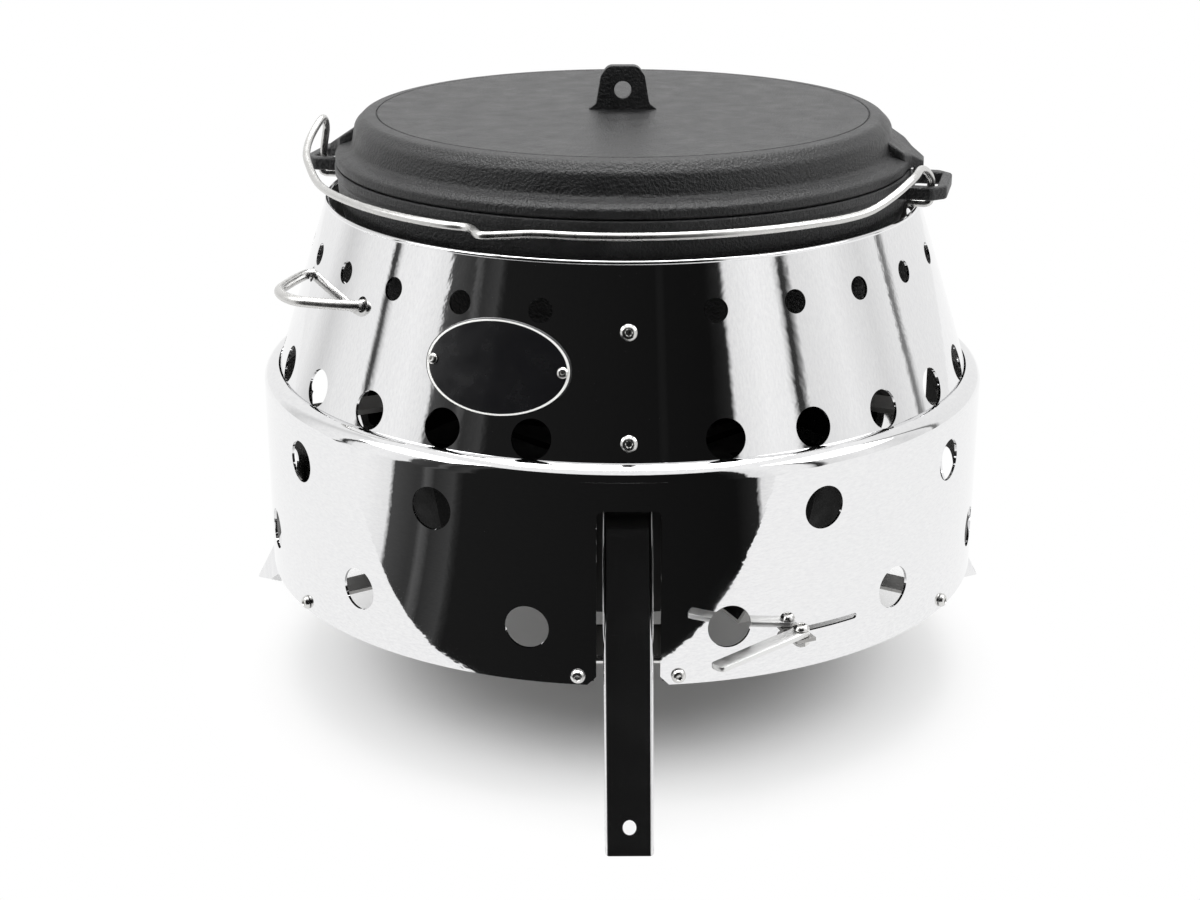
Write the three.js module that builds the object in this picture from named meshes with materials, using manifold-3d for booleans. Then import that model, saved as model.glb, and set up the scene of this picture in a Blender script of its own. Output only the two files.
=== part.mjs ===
// Dutch oven seated in its folding stove: a cast-iron pot with lid and bail, standing in a perforated
// sheet-steel cone on a ring with three splayed legs. Millimetres, +Z up, the front is -Y.
// An azimuth is counted from the front towards +X, and heights of the stove count from its ring.

import * as THREE from 'three';
import { mergeVertices } from 'three/addons/utils/BufferGeometryUtils.js';
import Module from 'manifold-3d';

const wasm = await Module();
wasm.setup();

// Driving sizes of the whole
const ringRadius = 225;
const ringHeight = 127.3;
const ringAboveFloor = 75;
const sheet = 1.5;
const seatGap = 0.3;
const overrun = 4;
const positions = 25;
const aroundSteps = 50;
const innerSteps = 25;
const holeSteps = 12;
const smallHoleSteps = 8;
const plateSteps = 28;
const pitch = 360 / positions;

// Ring wall and its punched holes
const ringHoleDiameter = 25;
const ringUpperRowDown = 32.6;
const ringUpperRow = ringHeight - ringUpperRowDown;
const ringLowerRow = 32.4;
const lastHole = (positions - 1) / 2;
const legPosition = 8;
const slotBelowTop = 24.3;
const slotHeight = ringHeight - slotBelowTop;
const slotCorner = 4;
const slotChamfer = 5;
const shoulderRadius = 9.12;
const shoulderSteps = 3;

// Cone, which stands in the ring and leans so that its wall meets the ring's shoulder
const coneInRing = 17.3;
const coneLowerEdge = ringHeight - coneInRing;
const coneHeight = 120.5;
const coneTop = coneLowerEdge + coneHeight;
const coneTopInset = 43.2;
const coneTopRadius = ringRadius - coneTopInset;
const shoulderLip = ringRadius - shoulderRadius;
const coneSlope = (shoulderLip - seatGap - coneTopRadius) / (coneTop - ringHeight + sheet);
const hemHeight = 2.6;
const hemOut = 1.3;
const smallHoleDiameter = 13.5;
const smallRowDown = 26.8;
const smallRow = coneTop - smallRowDown;
const largeHoleDiameter = 22.5;
const largeRowUp = 10.2;
const largeRow = ringHeight + largeRowUp;
const seamScrewUnderSmallRow = 9.8;
const seamScrewUnderLargeRow = 0.4;
const seamScrewRows = [smallRow - seamScrewUnderSmallRow, largeRow - seamScrewUnderLargeRow];
const seamEdgeOffset = 15;
const seamGroove = 0.8;

// Fasteners
const screwShank = 4.6;
const screwHead = 9.4;
const screwHeadHeight = 2.8;
const shankClearance = 0.4;
const nutAcross = 8.6;
const nutHeight = 3.2;
const fastenerSteps = 8;
const threadEnd = 1.2;

// Legs, counted along the leg from its foot
const footBeyondRing = 55;
const footRadius = ringRadius + footBeyondRing;
const legLean = 29;
const legLength = 191;
const legFootWidth = 26.4;
const legTopWidth = 28.7;
const legSlotClearance = 3.35;
const slotWidth = legTopWidth + 2 * legSlotClearance;
const legDepth = 20;
const legSheet = 2;
const footHoleUp = 15.2;
const footHoleDiameter = 8;
const pinInset = 9;
const pinRadius = ringRadius - pinInset;
const pinAboveRing = 12;
const pinDiameter = 5;
const pinClearance = 0.6;
const pinHeadDiameter = 6.8;
const pinHeadThickness = 2;

// Leg brackets behind the ring wall
const bracketSheet = 2;
const cheekClearance = 4.65;
const cheekHalfGap = legTopWidth / 2 + cheekClearance;
const bracketInset = 29;
const bracketBack = ringRadius - bracketInset;
const bracketLow = 1.5;
const bracketHigh = 24;
const wingLength = 15.25;
const wingReach = cheekHalfGap + wingLength;
const lowScrewHeight = 5.2;
const lowScrewShare = 0.87;

// Fire bowl, its three supports, charcoal grate and air shutter
const bowlInset = 27;
const bowlTopRadius = bracketBack - bowlInset;
const bowlTaper = 19;
const bowlBottomRadius = bowlTopRadius - bowlTaper;
const bowlBelowCone = 15;
const bowlTop = coneLowerEdge - bowlBelowCone;
const bowlRimTurn = 3;
const supportPositions = [legPosition / 2, -legPosition / 2, positions / 2];
const supportWidth = 20;
const supportUnderBowl = 10;
const supportReach = bowlBottomRadius - supportUnderBowl;
const supportHeight = 10;
const bowlBottom = supportHeight + seatGap;
const supportSheet = 2;
const grateHeight = 40;
const grateThickness = 4;
const grateSlots = 16;
const grateSlotWidth = 9;
const grateSlotInner = 40;
const grateRim = 14;
const airHoles = 8;
const airHoleDiameter = 13;
const shutterInset = 15;
const shutterRadius = supportReach - shutterInset;
const airHoleInset = 45;
const airHoleCircle = shutterRadius - airHoleInset;
const shutterSheet = 1.5;
const shutterDrop = 0.8;
const shutterPinDiameter = 8;
const shutterPinHead = 16;
const shutterPinHeadHeight = 2;

// Shutter arm, its slot in the ring and the hand lever
const armWidth = 12;
const armSheet = 2;
const armBeyondBowl = 22;
const armKneeInner = bowlBottomRadius + armBeyondBowl;
const armRise = 12;
const armKneeOuter = armKneeInner + armRise;
const tabBeyondRing = 14;
const tabReach = ringRadius + tabBeyondRing;
const tabHeight = 23.5;
const leverAzimuth = 24.4;
const leverScrewBeyondRing = 8;
const leverScrewRadius = ringRadius + leverScrewBeyondRing;
const leverSlotFrom = 21.7;
const leverSlotTo = 35.5;
const leverSlotHeight = 3.4;
const leverLength = 68;
const leverWidth = 9.5;
const leverThickness = 3;
const leverCorner = 2;
const leverAside = -72;
const leverScrewShank = 4;
const leverScrewHead = 9;
const leverNutAcross = 8;
const leverNutHeight = 3;

// Side handle of the stove
const handlePositions = [-3.5, -5.1];
const handleUnderRow = 13.1;
const handleHeight = smallRow - handleUnderRow;
const handleRod = 6.2;
const handleHole = 9.4;
const handleReach = 27.5;
const handleInside = 9;
const handleHookDrop = 9;
const handleApexHalf = 10;
const wireStepsPerBend = 2;

// Name plate on the cone
const platePosition = -1.46;
const plateAboveMiddle = 2.4;
const plateHeight = (smallRow + largeRow) / 2 + plateAboveMiddle;
const plateHalfWidth = 43;
const plateHalfTall = 26.5;
const plateSheet = 1.2;
const plateRivetInset = 5;
const plateRivetOffset = plateHalfWidth - plateRivetInset;
const rivetShank = 3;
const rivetHead = 6.4;
const rivetHeadHeight = 1.5;

// Pot, which hangs clear inside the cone and stands above it
const potClearance = 5.8;
const potRimRadius = coneTopRadius - potClearance;
const potProud = 20;
const potRimTop = coneTop + potProud;
const potRimHeight = 5;
const potNeckInset = 1.5;
const potNeckRadius = potRimRadius - potNeckInset;
const potTaper = 24.5;
const potBelly = potNeckRadius - potTaper;
const potBellyUp = 15;
const potBottomInset = 17;
const potBottomRadius = potBelly - potBottomInset;
const potAboveConeEdge = 5.5;
const potBottom = coneLowerEdge + potAboveConeEdge;
const potNeckDown = 12;
const potWall = 6;
const potRimWidth = 9;
const castStep = 1.2;

// Pot rests inside the cone
const restAside = (legPosition + 1) / 2;
const restPositions = [restAside, -restAside, positions / 2];
const restWidth = 24;
const restSheet = 3;
const restUnderPot = 15;
const restInner = potBottomRadius - restUnderPot;
const restTab = 16;

// Ears of the pot, measured from the pot's axis and from the middle of the ear
const earAzimuth = 76;
const earLength = 24;
const earReach = potRimRadius + earLength;
const earHalf = 27.5;
const earChamfer = 8;
const earDown = 4.5;
const earTop = potRimTop - earDown;
const earThickness = 8;
const earSlotGap = 2.5;
const earSlotInner = potRimRadius + earSlotGap;
const earEndRail = 6;
const earSlotOuter = earReach - earEndRail;
const earSideRail = 7.5;
const earSlotChamfer = 2;
const earSlotHalf = earHalf - earSideRail;

// Lid
const lidRise = 29.5;
const lidTop = potRimTop + lidRise;
const lidGrooveWidth = 1.6;
const lidGrooveDepth = 1.2;
const lidInset = 0.5;
const lidFlangeRadius = potRimRadius - lidInset;
const lidFlangeHeight = 8;
const lidFlangeWidth = 11;
const lidBodyRadius = lidFlangeRadius - lidFlangeWidth;
const lidGrooveInset = 15.5;
const lidGrooveRadius = lidBodyRadius - lidGrooveInset;
const lidWall = 6;
const lidLipClearance = 1;
const lidLipRadius = potRimRadius - potRimWidth - lidLipClearance;
const lidLipWidth = 4;
const lidLipDrop = 4;
const lidShoulder = 14;
const lidTurn = 5;
const lugEndHalf = 8;
const lugBaseHalf = 27;
const lugEndDown = 25.5;
const lugRootDown = 12;
const lugAboveEar = 1.3;
const tabBaseWidth = 33;
const tabTopWidth = 27;
const tabHeightAboveLid = 26.4;
const tabThickness = 7.5;
const tabHoleDiameter = 10.5;
const tabHoleUp = 12;
const tabCorner = 6;
const tabFootFlare = 3;

// Bail of bent wire, hooked round the front rail of each ear
const bailWire = 4.6;
const bailSides = 6;
const bailRimClearance = 7.7;
const bailArcRadius = potRimRadius + bailWire / 2 + bailRimClearance;
const bailFlare = 7;
const bailFlareFrom = 38;
const bailArcEnd = 72;
const bailRailGap = 1.7;
const bailHookSpan = earSlotOuter - bailWire / 2 - bailRailGap;
const bailHingeSide = earHalf - earSideRail / 2;
const bailAxisHeight = earTop - earThickness / 2;
const bailHookClearance = 1.02;
const bailHookRadius = Math.hypot(earSideRail, earThickness) / 2 + bailWire / 2 + bailHookClearance;
const bailHookRise = 17;
const bailHighHookRise = 27.5;
const bailFrontRise = 2.5;
const bailRiseFrom = 57;
const bailHookLean = 2.2;
const bailHighHookLean = 2.5;
const bailEndLength = 12.5;
const notchAside = -9.5;
const notchOut = 12;
const notchSteepAngle = 4;
const notchGentleAngle = 8;
const bailArcSteps = 24;

// The lid's lugs end short of the bail's hooks
const lugHookClearance = 4.5;
const lugReach = bailHookSpan - bailWire / 2 - lugHookClearance;

// Values worked out from the sizes above
const degree = Math.PI / 180;
const ringTopZ = ringAboveFloor;
const frameShift = (footRadius - ringRadius - seatGap - screwHeadHeight) / 2;
const legAzimuths = { front: 0, right: legPosition * pitch, left: -legPosition * pitch };
const coneLean = Math.atan(coneSlope) / degree;
const coneRadiusAt = height => coneTopRadius + coneSlope * (coneTop - height);
const wallInner = ringRadius - sheet;
const facetSag = ringRadius * (1 - Math.cos(Math.PI / aroundSteps));
const wingMiddle = (cheekHalfGap + bracketSheet + wingReach) / 2;
const bracketScrewAngle = Math.asin(wingMiddle / wallInner) / degree;

// Materials
const look = (color, roughness, metalness) =>
    new THREE.MeshStandardMaterial({ color, roughness, metalness });
const polished = look(0xd9dadb, 0.12, 1);
const satin = look(0xb9b8b4, 0.32, 1);
const blackened = look(0x2b2c2e, 0.6, 0.7);
const castIron = look(0x2a2b2d, 0.72, 0.4);
const enamel = look(0x0c0c0d, 0.3, 0.1);

// Solid helpers
function toSolid(geometry) {
    const bare = geometry.clone();
    for (const name of Object.keys(bare.attributes)) {
        if (name !== 'position') bare.deleteAttribute(name);
    }
    const merged = mergeVertices(bare, 1e-4);
    const corners = merged.index.array;
    const kept = [];
    for (let i = 0; i < corners.length; i += 3) {
        const [a, b, c] = [corners[i], corners[i + 1], corners[i + 2]];
        if (a !== b && b !== c && c !== a) kept.push(a, b, c);
    }
    return new wasm.Manifold(new wasm.Mesh({
        numProp: 3,
        vertProperties: new Float32Array(merged.attributes.position.array),
        triVerts: new Uint32Array(kept),
    }));
}

function toGeometry(solid) {
    const mesh = solid.getMesh();
    const geometry = new THREE.BufferGeometry();
    geometry.setAttribute('position', new THREE.BufferAttribute(mesh.vertProperties, 3));
    geometry.setIndex(new THREE.BufferAttribute(mesh.triVerts, 1));
    return geometry;
}

const cut = (body, ...tools) =>
    toGeometry(tools.reduce((solid, tool) => solid.subtract(toSolid(tool)), toSolid(body)));
const join = (body, ...others) =>
    toGeometry(others.reduce((solid, other) => solid.add(toSolid(other)), toSolid(body)));
const common = (body, other) => toGeometry(toSolid(body).intersect(toSolid(other)));

// Shape helpers. Shapes are drawn at the front, facing -Y, and turned to their azimuth.
function turned(profile, steps = aroundSteps) {
    const points = profile.map(([radius, height]) => new THREE.Vector2(radius, height));
    return new THREE.LatheGeometry(points, steps).rotateX(90 * degree);
}

function ringShell(outer, inner, low, high, steps = aroundSteps) {
    return turned([[outer, low], [outer, high], [inner, high], [inner, low], [outer, low]], steps);
}

function block(width, depth, tall, x = 0, y = 0, z = 0) {
    return new THREE.BoxGeometry(width, depth, tall).translate(x, y, z);
}

// A rod along Y, through its middle
const rod = (diameter, length, steps = holeSteps) =>
    new THREE.CylinderGeometry(diameter / 2, diameter / 2, length, steps);

const upright = (diameter, length, steps = holeSteps) => rod(diameter, length, steps).rotateX(90 * degree);

function atWall(geometry, azimuth, radius, height, lean = 0) {
    return geometry.rotateX(-lean * degree).translate(0, -radius, height).rotateZ(azimuth * degree);
}

// Square to the cone: y = 0 is its outer face, and +y goes inwards
const onCone = (geometry, azimuth, height) =>
    atWall(geometry, azimuth, coneRadiusAt(height), height, coneLean);

// A flat outline in the lateral and outward directions, made thick in height
function slab(outline, thickness, low) {
    const shape = new THREE.Shape(outline.map(([side, out]) => new THREE.Vector2(side, -out)));
    return new THREE.ExtrudeGeometry(shape, { depth: thickness, bevelEnabled: false })
        .translate(0, 0, low);
}

// An outline in the outward and height directions, made wide sideways
function strip(outline, width) {
    const shape = new THREE.Shape(outline.map(([out, height]) => new THREE.Vector2(out, height)));
    return new THREE.ExtrudeGeometry(shape, { depth: width, bevelEnabled: false })
        .translate(0, 0, -width / 2)
        .rotateX(90 * degree)
        .rotateZ(-90 * degree);
}

// A headed pin along Y: its head lies outside, at -Y, with the seat at y = 0
function buttonScrew(head, headHeight, shank, length, steps = fastenerSteps) {
    const headRadius = head / 2;
    return turned([
        [0, -length],
        [shank / 2, -length],
        [shank / 2, 0],
        [headRadius, 0],
        [headRadius, headHeight * 0.4],
        [headRadius * 0.62, headHeight],
        [0, headHeight],
    ], steps).rotateX(90 * degree);
}

function ringNut(across, hole, height) {
    const outer = across / 2 / Math.cos(30 * degree);
    const inner = hole / 2 / Math.cos(30 * degree);
    return ringShell(outer, inner, 0, height, 6).rotateX(90 * degree);
}

// Ring: a wall with a rolled shoulder, open leg slots and a slot for the shutter's tab
function ringProfile() {
    const springLine = ringHeight - shoulderRadius;
    const arc = (radius, from, to) => {
        const points = [];
        for (let i = 0; i <= shoulderSteps; i++) {
            const angle = (from + (to - from) * i / shoulderSteps) * degree;
            points.push([shoulderLip + radius * Math.cos(angle), springLine + radius * Math.sin(angle)]);
        }
        return points;
    };
    return [
        [ringRadius, 0],
        ...arc(shoulderRadius, 0, 90),
        ...arc(shoulderRadius - sheet, 90, 0),
        [wallInner, 0],
        [ringRadius, 0],
    ];
}

function legSlotCutter() {
    const half = slotWidth / 2;
    const shape = new THREE.Shape();
    shape.moveTo(-half - slotChamfer, -overrun);
    shape.lineTo(half + slotChamfer, -overrun);
    shape.lineTo(half + slotChamfer, 0);
    shape.lineTo(half, slotChamfer);
    shape.lineTo(half, slotHeight - slotCorner);
    shape.absarc(half - slotCorner, slotHeight - slotCorner, slotCorner, 0, 90 * degree, false);
    shape.absarc(slotCorner - half, slotHeight - slotCorner, slotCorner, 90 * degree, 180 * degree, false);
    shape.lineTo(-half, slotChamfer);
    shape.lineTo(-half - slotChamfer, 0);
    const options = { depth: sheet + 2 * overrun, bevelEnabled: false, curveSegments: 2 };
    return new THREE.ExtrudeGeometry(shape, options)
        .rotateX(90 * degree)
        .translate(0, sheet / 2 + overrun, 0);
}

function lowScrewAzimuths() {
    const list = supportPositions.map(position => position * pitch);
    for (const azimuth of Object.values(legAzimuths)) {
        list.push(azimuth - bracketScrewAngle, azimuth + bracketScrewAngle);
    }
    return list;
}

function makeRing() {
    const cutters = [];
    const middle = ringRadius - sheet / 2;
    const through = sheet + 2 * overrun;
    for (let place = -lastHole; place <= lastHole; place++) {
        if (place === 0 || Math.abs(place) === legPosition) continue;
        const row = place % 2 === 0 ? ringUpperRow : ringLowerRow;
        cutters.push(atWall(rod(ringHoleDiameter, through), place * pitch, middle, row));
    }
    for (const azimuth of Object.values(legAzimuths)) {
        cutters.push(atWall(legSlotCutter(), azimuth, middle, 0));
    }
    for (const azimuth of lowScrewAzimuths()) {
        const hole = rod(screwShank + shankClearance, through, fastenerSteps);
        cutters.push(atWall(hole, azimuth, middle, lowScrewHeight));
    }
    const low = tabHeight - leverSlotHeight / 2;
    const band = ringShell(ringRadius + overrun, wallInner - overrun, low, low + leverSlotHeight);
    cutters.push(sector(band, leverSlotFrom, leverSlotTo));
    return cut(turned(ringProfile()), ...cutters);
}

// The part of a round body between two azimuths
function sector(body, from, to) {
    const reach = 2 * ringRadius;
    const wedge = [[0, 0]];
    for (const azimuth of [from, (from + to) / 2, to]) {
        wedge.push([reach * Math.sin(azimuth * degree), reach * Math.cos(azimuth * degree)]);
    }
    return common(body, slab(wedge, 4 * ringRadius, -2 * ringRadius));
}

// Cone: one rolled sheet with a hem, two rows of holes and the lap line of its seam
function makeCone() {
    const inset = sheet * Math.sqrt(1 + coneSlope * coneSlope);
    const hemBottom = coneTop - hemHeight;
    const profile = [
        [coneRadiusAt(coneLowerEdge), coneLowerEdge],
        [coneRadiusAt(hemBottom), hemBottom],
        [coneRadiusAt(hemBottom) + hemOut, hemBottom + hemHeight * 0.3],
        [coneTopRadius + hemOut, coneTop - hemHeight * 0.3],
        [coneTopRadius + hemOut * 0.3, coneTop],
        [coneTopRadius - inset, coneTop],
        [coneRadiusAt(coneLowerEdge) - inset, coneLowerEdge],
        [coneRadiusAt(coneLowerEdge), coneLowerEdge],
    ];
    const through = sheet + 2 * overrun;
    const cutters = [];
    const punch = (diameter, azimuth, height, steps = fastenerSteps) => {
        cutters.push(onCone(rod(diameter, through, steps), azimuth, height));
    };
    for (let place = -lastHole; place <= lastHole; place++) {
        if (place === 0) continue;
        punch(smallHoleDiameter, place * pitch, smallRow, smallHoleSteps);
        punch(largeHoleDiameter, place * pitch, largeRow, holeSteps);
    }
    for (const row of seamScrewRows) punch(screwShank + shankClearance, 0, row);
    for (const place of handlePositions) punch(handleHole, place * pitch, handleHeight);
    for (const side of [-1, 1]) {
        punch(rivetShank + shankClearance, plateRivetAzimuth(side), plateHeight);
    }
    const grooveTall = (coneTop - ringHeight) * 0.92;
    const lap = block(seamGroove, seamGroove * 2, grooveTall).translate(seamEdgeOffset, 0, 0);
    const grooveMiddle = (coneTop + ringHeight) / 2;
    const grooveRadius = Math.sqrt(coneRadiusAt(grooveMiddle) ** 2 - seamEdgeOffset ** 2);
    cutters.push(lap.rotateX(-coneLean * degree).translate(0, -grooveRadius, grooveMiddle));
    return cut(turned(profile), ...cutters);
}

function plateRivetAzimuth(side) {
    const radius = coneRadiusAt(plateHeight);
    return platePosition * pitch + side * Math.asin(plateRivetOffset / radius) / degree;
}

function makeSeamScrew(row) {
    const length = sheet + nutHeight + 3 * seatGap + threadEnd;
    const screw = buttonScrew(screwHead, screwHeadHeight, screwShank, length);
    return onCone(screw.translate(0, -seatGap, 0), 0, row);
}

function makeSeamNut(row) {
    const nut = ringNut(nutAcross, screwShank + shankClearance, nutHeight);
    return onCone(nut.translate(0, sheet + seatGap + nutHeight, 0), 0, row);
}

// Screws low on the ring. Each goes into a nut welded to the piece that it holds.
function makeLowScrew(azimuth) {
    const length = sheet + bracketSheet + nutHeight + 3 * seatGap + threadEnd;
    const screw = buttonScrew(screwHead * lowScrewShare, screwHeadHeight, screwShank, length);
    return atWall(screw, azimuth, ringRadius + seatGap, lowScrewHeight);
}

function weldNut(azimuth) {
    const sunk = seatGap;
    const nut = ringNut(nutAcross * lowScrewShare, screwShank + shankClearance, nutHeight + sunk);
    const seat = wallInner - bracketSheet;
    return atWall(nut.translate(0, nutHeight + sunk, 0), azimuth, seat, lowScrewHeight);
}

// A curved tab that lies against the inside of the ring wall
function wallTab(low, high, fromSide, toSide) {
    const outer = wallInner - seatGap;
    const shell = ringShell(outer, outer - bracketSheet, low, high);
    const width = toSide - fromSide;
    const box = block(width, ringRadius, high - low + 2 * overrun,
        fromSide + width / 2, -ringRadius, (low + high) / 2);
    return common(shell, box);
}

function makeBracket(azimuth) {
    const tall = bracketHigh - bracketLow;
    const front = Math.sqrt((wallInner - seatGap) ** 2 - (cheekHalfGap + bracketSheet) ** 2) - seatGap;
    const deep = front - bracketBack;
    const height = (bracketHigh + bracketLow) / 2;
    const cheekX = cheekHalfGap + bracketSheet / 2;
    const cheek = side => block(bracketSheet, deep, tall, side * cheekX, -bracketBack - deep / 2, height);
    const back = block(2 * cheekHalfGap + bracketSheet, bracketSheet, tall,
        0, -bracketBack - bracketSheet / 2, height);
    const wings = [
        wallTab(bracketLow, bracketHigh, cheekHalfGap, wingReach),
        wallTab(bracketLow, bracketHigh, -wingReach, -cheekHalfGap),
    ];
    const pinHole = rod(pinDiameter + pinClearance, 4 * cheekHalfGap, fastenerSteps)
        .rotateZ(90 * degree).translate(0, -pinRadius, pinAboveRing);
    const screwHoles = [-1, 1].map(side => atWall(
        rod(screwShank + shankClearance, 4 * overrun, fastenerSteps),
        side * bracketScrewAngle, wallInner, lowScrewHeight));
    const nuts = [-1, 1].map(side => weldNut(side * bracketScrewAngle));
    return join(cut(join(cheek(1), cheek(-1), back, ...wings), pinHole, ...screwHoles), ...nuts)
        .rotateZ(azimuth * degree);
}

// Hinge pin of a leg, headed at both ends outside the bracket's cheeks
function makePin(azimuth) {
    const half = cheekHalfGap + bracketSheet + seatGap;
    const end = half + pinHeadThickness;
    const radius = pinDiameter / 2;
    return turned([
        [0, -end], [pinHeadDiameter / 2, -end], [pinHeadDiameter / 2, -half], [radius, -half],
        [radius, half], [pinHeadDiameter / 2, half], [pinHeadDiameter / 2, end], [0, end],
    ], fastenerSteps)
        .rotateY(90 * degree)
        .translate(0, -pinRadius, pinAboveRing)
        .rotateZ(azimuth * degree);
}

// Leg: a folded channel, open inwards, drawn upright with its foot at the origin and then leaned
function makeLeg(azimuth) {
    const outside = block(legTopWidth, legDepth, legLength, 0, legDepth / 2, legLength / 2);
    const inside = block(legTopWidth - 2 * legSheet, legDepth, legLength + 2 * overrun,
        0, legSheet + legDepth / 2, legLength / 2);
    const lean = legLean * degree;
    const inward = footRadius - pinRadius;
    const rise = ringAboveFloor + pinAboveRing;
    const pinAlong = inward * Math.sin(lean) + rise * Math.cos(lean);
    const pinDeep = inward * Math.cos(lean) - rise * Math.sin(lean);
    const pinHole = rod(pinDiameter + pinClearance, 2 * legTopWidth, fastenerSteps)
        .rotateZ(90 * degree).translate(0, pinDeep, pinAlong);
    const footHole = rod(footHoleDiameter, 2 * legDepth).translate(0, 0, footHoleUp);
    const below = block(4 * legTopWidth, 6 * legDepth, legDepth, 0, 0, -legDepth / 2).rotateX(lean);
    const leg = cut(outside, inside, pinHole, footHole, below);
    const places = leg.attributes.position;
    for (let i = 0; i < places.count; i++) {
        const share = places.getZ(i) / legLength;
        const width = legFootWidth + (legTopWidth - legFootWidth) * share;
        places.setX(i, places.getX(i) * width / legTopWidth);
    }
    return atWall(leg, azimuth, footRadius, -ringAboveFloor, legLean);
}

// Fire bowl with air holes in its floor
function airHoleCutters(height) {
    const list = [upright(shutterPinDiameter + shankClearance, 4 * overrun).translate(0, 0, height)];
    for (let i = 0; i < airHoles; i++) {
        const hole = upright(airHoleDiameter, 4 * overrun);
        list.push(atWall(hole, (i + 0.5) * 360 / airHoles, airHoleCircle, height));
    }
    return list;
}

const bowlRadiusAt = height => {
    const share = (height - bowlBottom) / (bowlTop - bowlBottom);
    return bowlBottomRadius + (bowlTopRadius - bowlBottomRadius) * share;
};

function makeBowl() {
    const floor = bowlBottom + sheet;
    const profile = [
        [0, bowlBottom],
        [bowlBottomRadius, bowlBottom],
        [bowlTopRadius, bowlTop],
        [bowlTopRadius - sheet - bowlRimTurn, bowlTop],
        [bowlTopRadius - sheet - bowlRimTurn, bowlTop - sheet],
        [bowlRadiusAt(bowlTop - sheet) - sheet, bowlTop - sheet],
        [bowlRadiusAt(floor) - sheet, floor],
        [0, floor],
    ];
    return cut(turned(profile, innerSteps), ...airHoleCutters(bowlBottom));
}

function makeSupport(azimuth) {
    const outer = wallInner - seatGap;
    const deep = outer - bracketSheet / 2 - supportReach;
    const arm = block(supportWidth, deep, supportSheet,
        0, -supportReach - deep / 2, supportHeight - supportSheet / 2);
    const tab = wallTab(bracketLow, supportHeight, -supportWidth / 2, supportWidth / 2);
    const hole = rod(screwShank + shankClearance, 4 * overrun, fastenerSteps)
        .translate(0, -wallInner, lowScrewHeight);
    return join(cut(join(tab, arm), hole), weldNut(0)).rotateZ(azimuth * degree);
}

function makeGrate() {
    const radius = bowlRadiusAt(grateHeight) - sheet - seatGap;
    const disc = upright(2 * radius, grateThickness, innerSteps)
        .translate(0, 0, grateHeight + grateThickness / 2);
    const cutters = [];
    for (let i = 0; i < grateSlots; i++) {
        const inner = i % 2 === 0 ? grateSlotInner : 2 * grateSlotInner;
        const length = radius - grateRim - inner;
        const slot = block(grateSlotWidth, length, 4 * overrun, 0, -inner - length / 2, grateHeight);
        cutters.push(slot.rotateZ(i * 360 / grateSlots * degree));
    }
    return cut(disc, ...cutters);
}

// Air shutter: a disc under the bowl floor, with an arm that comes out through the ring
const shutterTop = bowlBottom - shutterDrop;

function makeShutter() {
    const disc = upright(2 * shutterRadius, shutterSheet, innerSteps)
        .translate(0, 0, shutterTop - shutterSheet / 2);
    const low = shutterTop - armSheet;
    const tabLow = tabHeight - armSheet / 2;
    const arm = strip([
        [shutterRadius - armWidth, low],
        [armKneeInner, low],
        [armKneeOuter, tabLow],
        [tabReach, tabLow],
        [tabReach, tabLow + armSheet],
        [armKneeOuter - armSheet / 2, tabLow + armSheet],
        [armKneeInner - armSheet / 2, shutterTop],
        [shutterRadius - armWidth, shutterTop],
    ], armWidth);
    const screwHole = upright(leverScrewShank + shankClearance, 4 * overrun, fastenerSteps)
        .translate(0, -leverScrewRadius, tabHeight);
    const turnedArm = cut(arm, screwHole).rotateZ(leverAzimuth * degree);
    return cut(join(disc, turnedArm), ...airHoleCutters(shutterTop));
}

function makeShutterPin() {
    const top = bowlBottom + sheet + seatGap;
    const low = shutterTop - armSheet - seatGap;
    const head = shutterPinHead / 2;
    const radius = shutterPinDiameter / 2;
    return turned([
        [0, low - shutterPinHeadHeight], [head, low - shutterPinHeadHeight], [head, low],
        [radius, low], [radius, top], [head, top],
        [head * 0.7, top + shutterPinHeadHeight], [0, top + shutterPinHeadHeight],
    ], holeSteps);
}

// Hand lever, screwed on top of the tab
const leverLow = tabHeight + armSheet / 2 + seatGap;

function makeLever() {
    const half = leverWidth / 2;
    const shape = new THREE.Shape();
    shape.absarc(0, 0, half, 180 * degree, 360 * degree, false);
    shape.lineTo(half, leverLength - leverCorner);
    shape.lineTo(half - leverCorner, leverLength);
    shape.lineTo(leverCorner - half, leverLength);
    shape.lineTo(-half, leverLength - leverCorner);
    const options = { depth: leverThickness, bevelEnabled: false, curveSegments: 5 };
    const bar = new THREE.ExtrudeGeometry(shape, options)
        .rotateZ(180 * degree);
    const hole = upright(leverScrewShank + shankClearance, 4 * overrun, fastenerSteps);
    return atWall(
        cut(bar, hole).rotateZ(leverAside * degree).translate(0, 0, leverLow),
        leverAzimuth, leverScrewRadius, 0);
}

function makeLeverScrew() {
    const seat = leverLow + leverThickness + seatGap;
    const length = seat - (tabHeight - armSheet / 2 - seatGap - leverNutHeight) + threadEnd;
    const screw = buttonScrew(leverScrewHead, screwHeadHeight, leverScrewShank, length)
        .rotateX(-90 * degree);
    return atWall(screw.translate(0, 0, seat), leverAzimuth, leverScrewRadius, 0);
}

function makeLeverNut() {
    const nut = ringNut(leverNutAcross, leverScrewShank + shankClearance, leverNutHeight)
        .rotateX(-90 * degree);
    const low = tabHeight - armSheet / 2 - seatGap - leverNutHeight;
    return atWall(nut.translate(0, 0, low), leverAzimuth, leverScrewRadius, 0);
}

// A smooth path that is divided evenly between its bend points, so that tight hooks stay round
class WirePath extends THREE.CatmullRomCurve3 {
    getUtoTmapping(share) {
        return share;
    }
}

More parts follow.
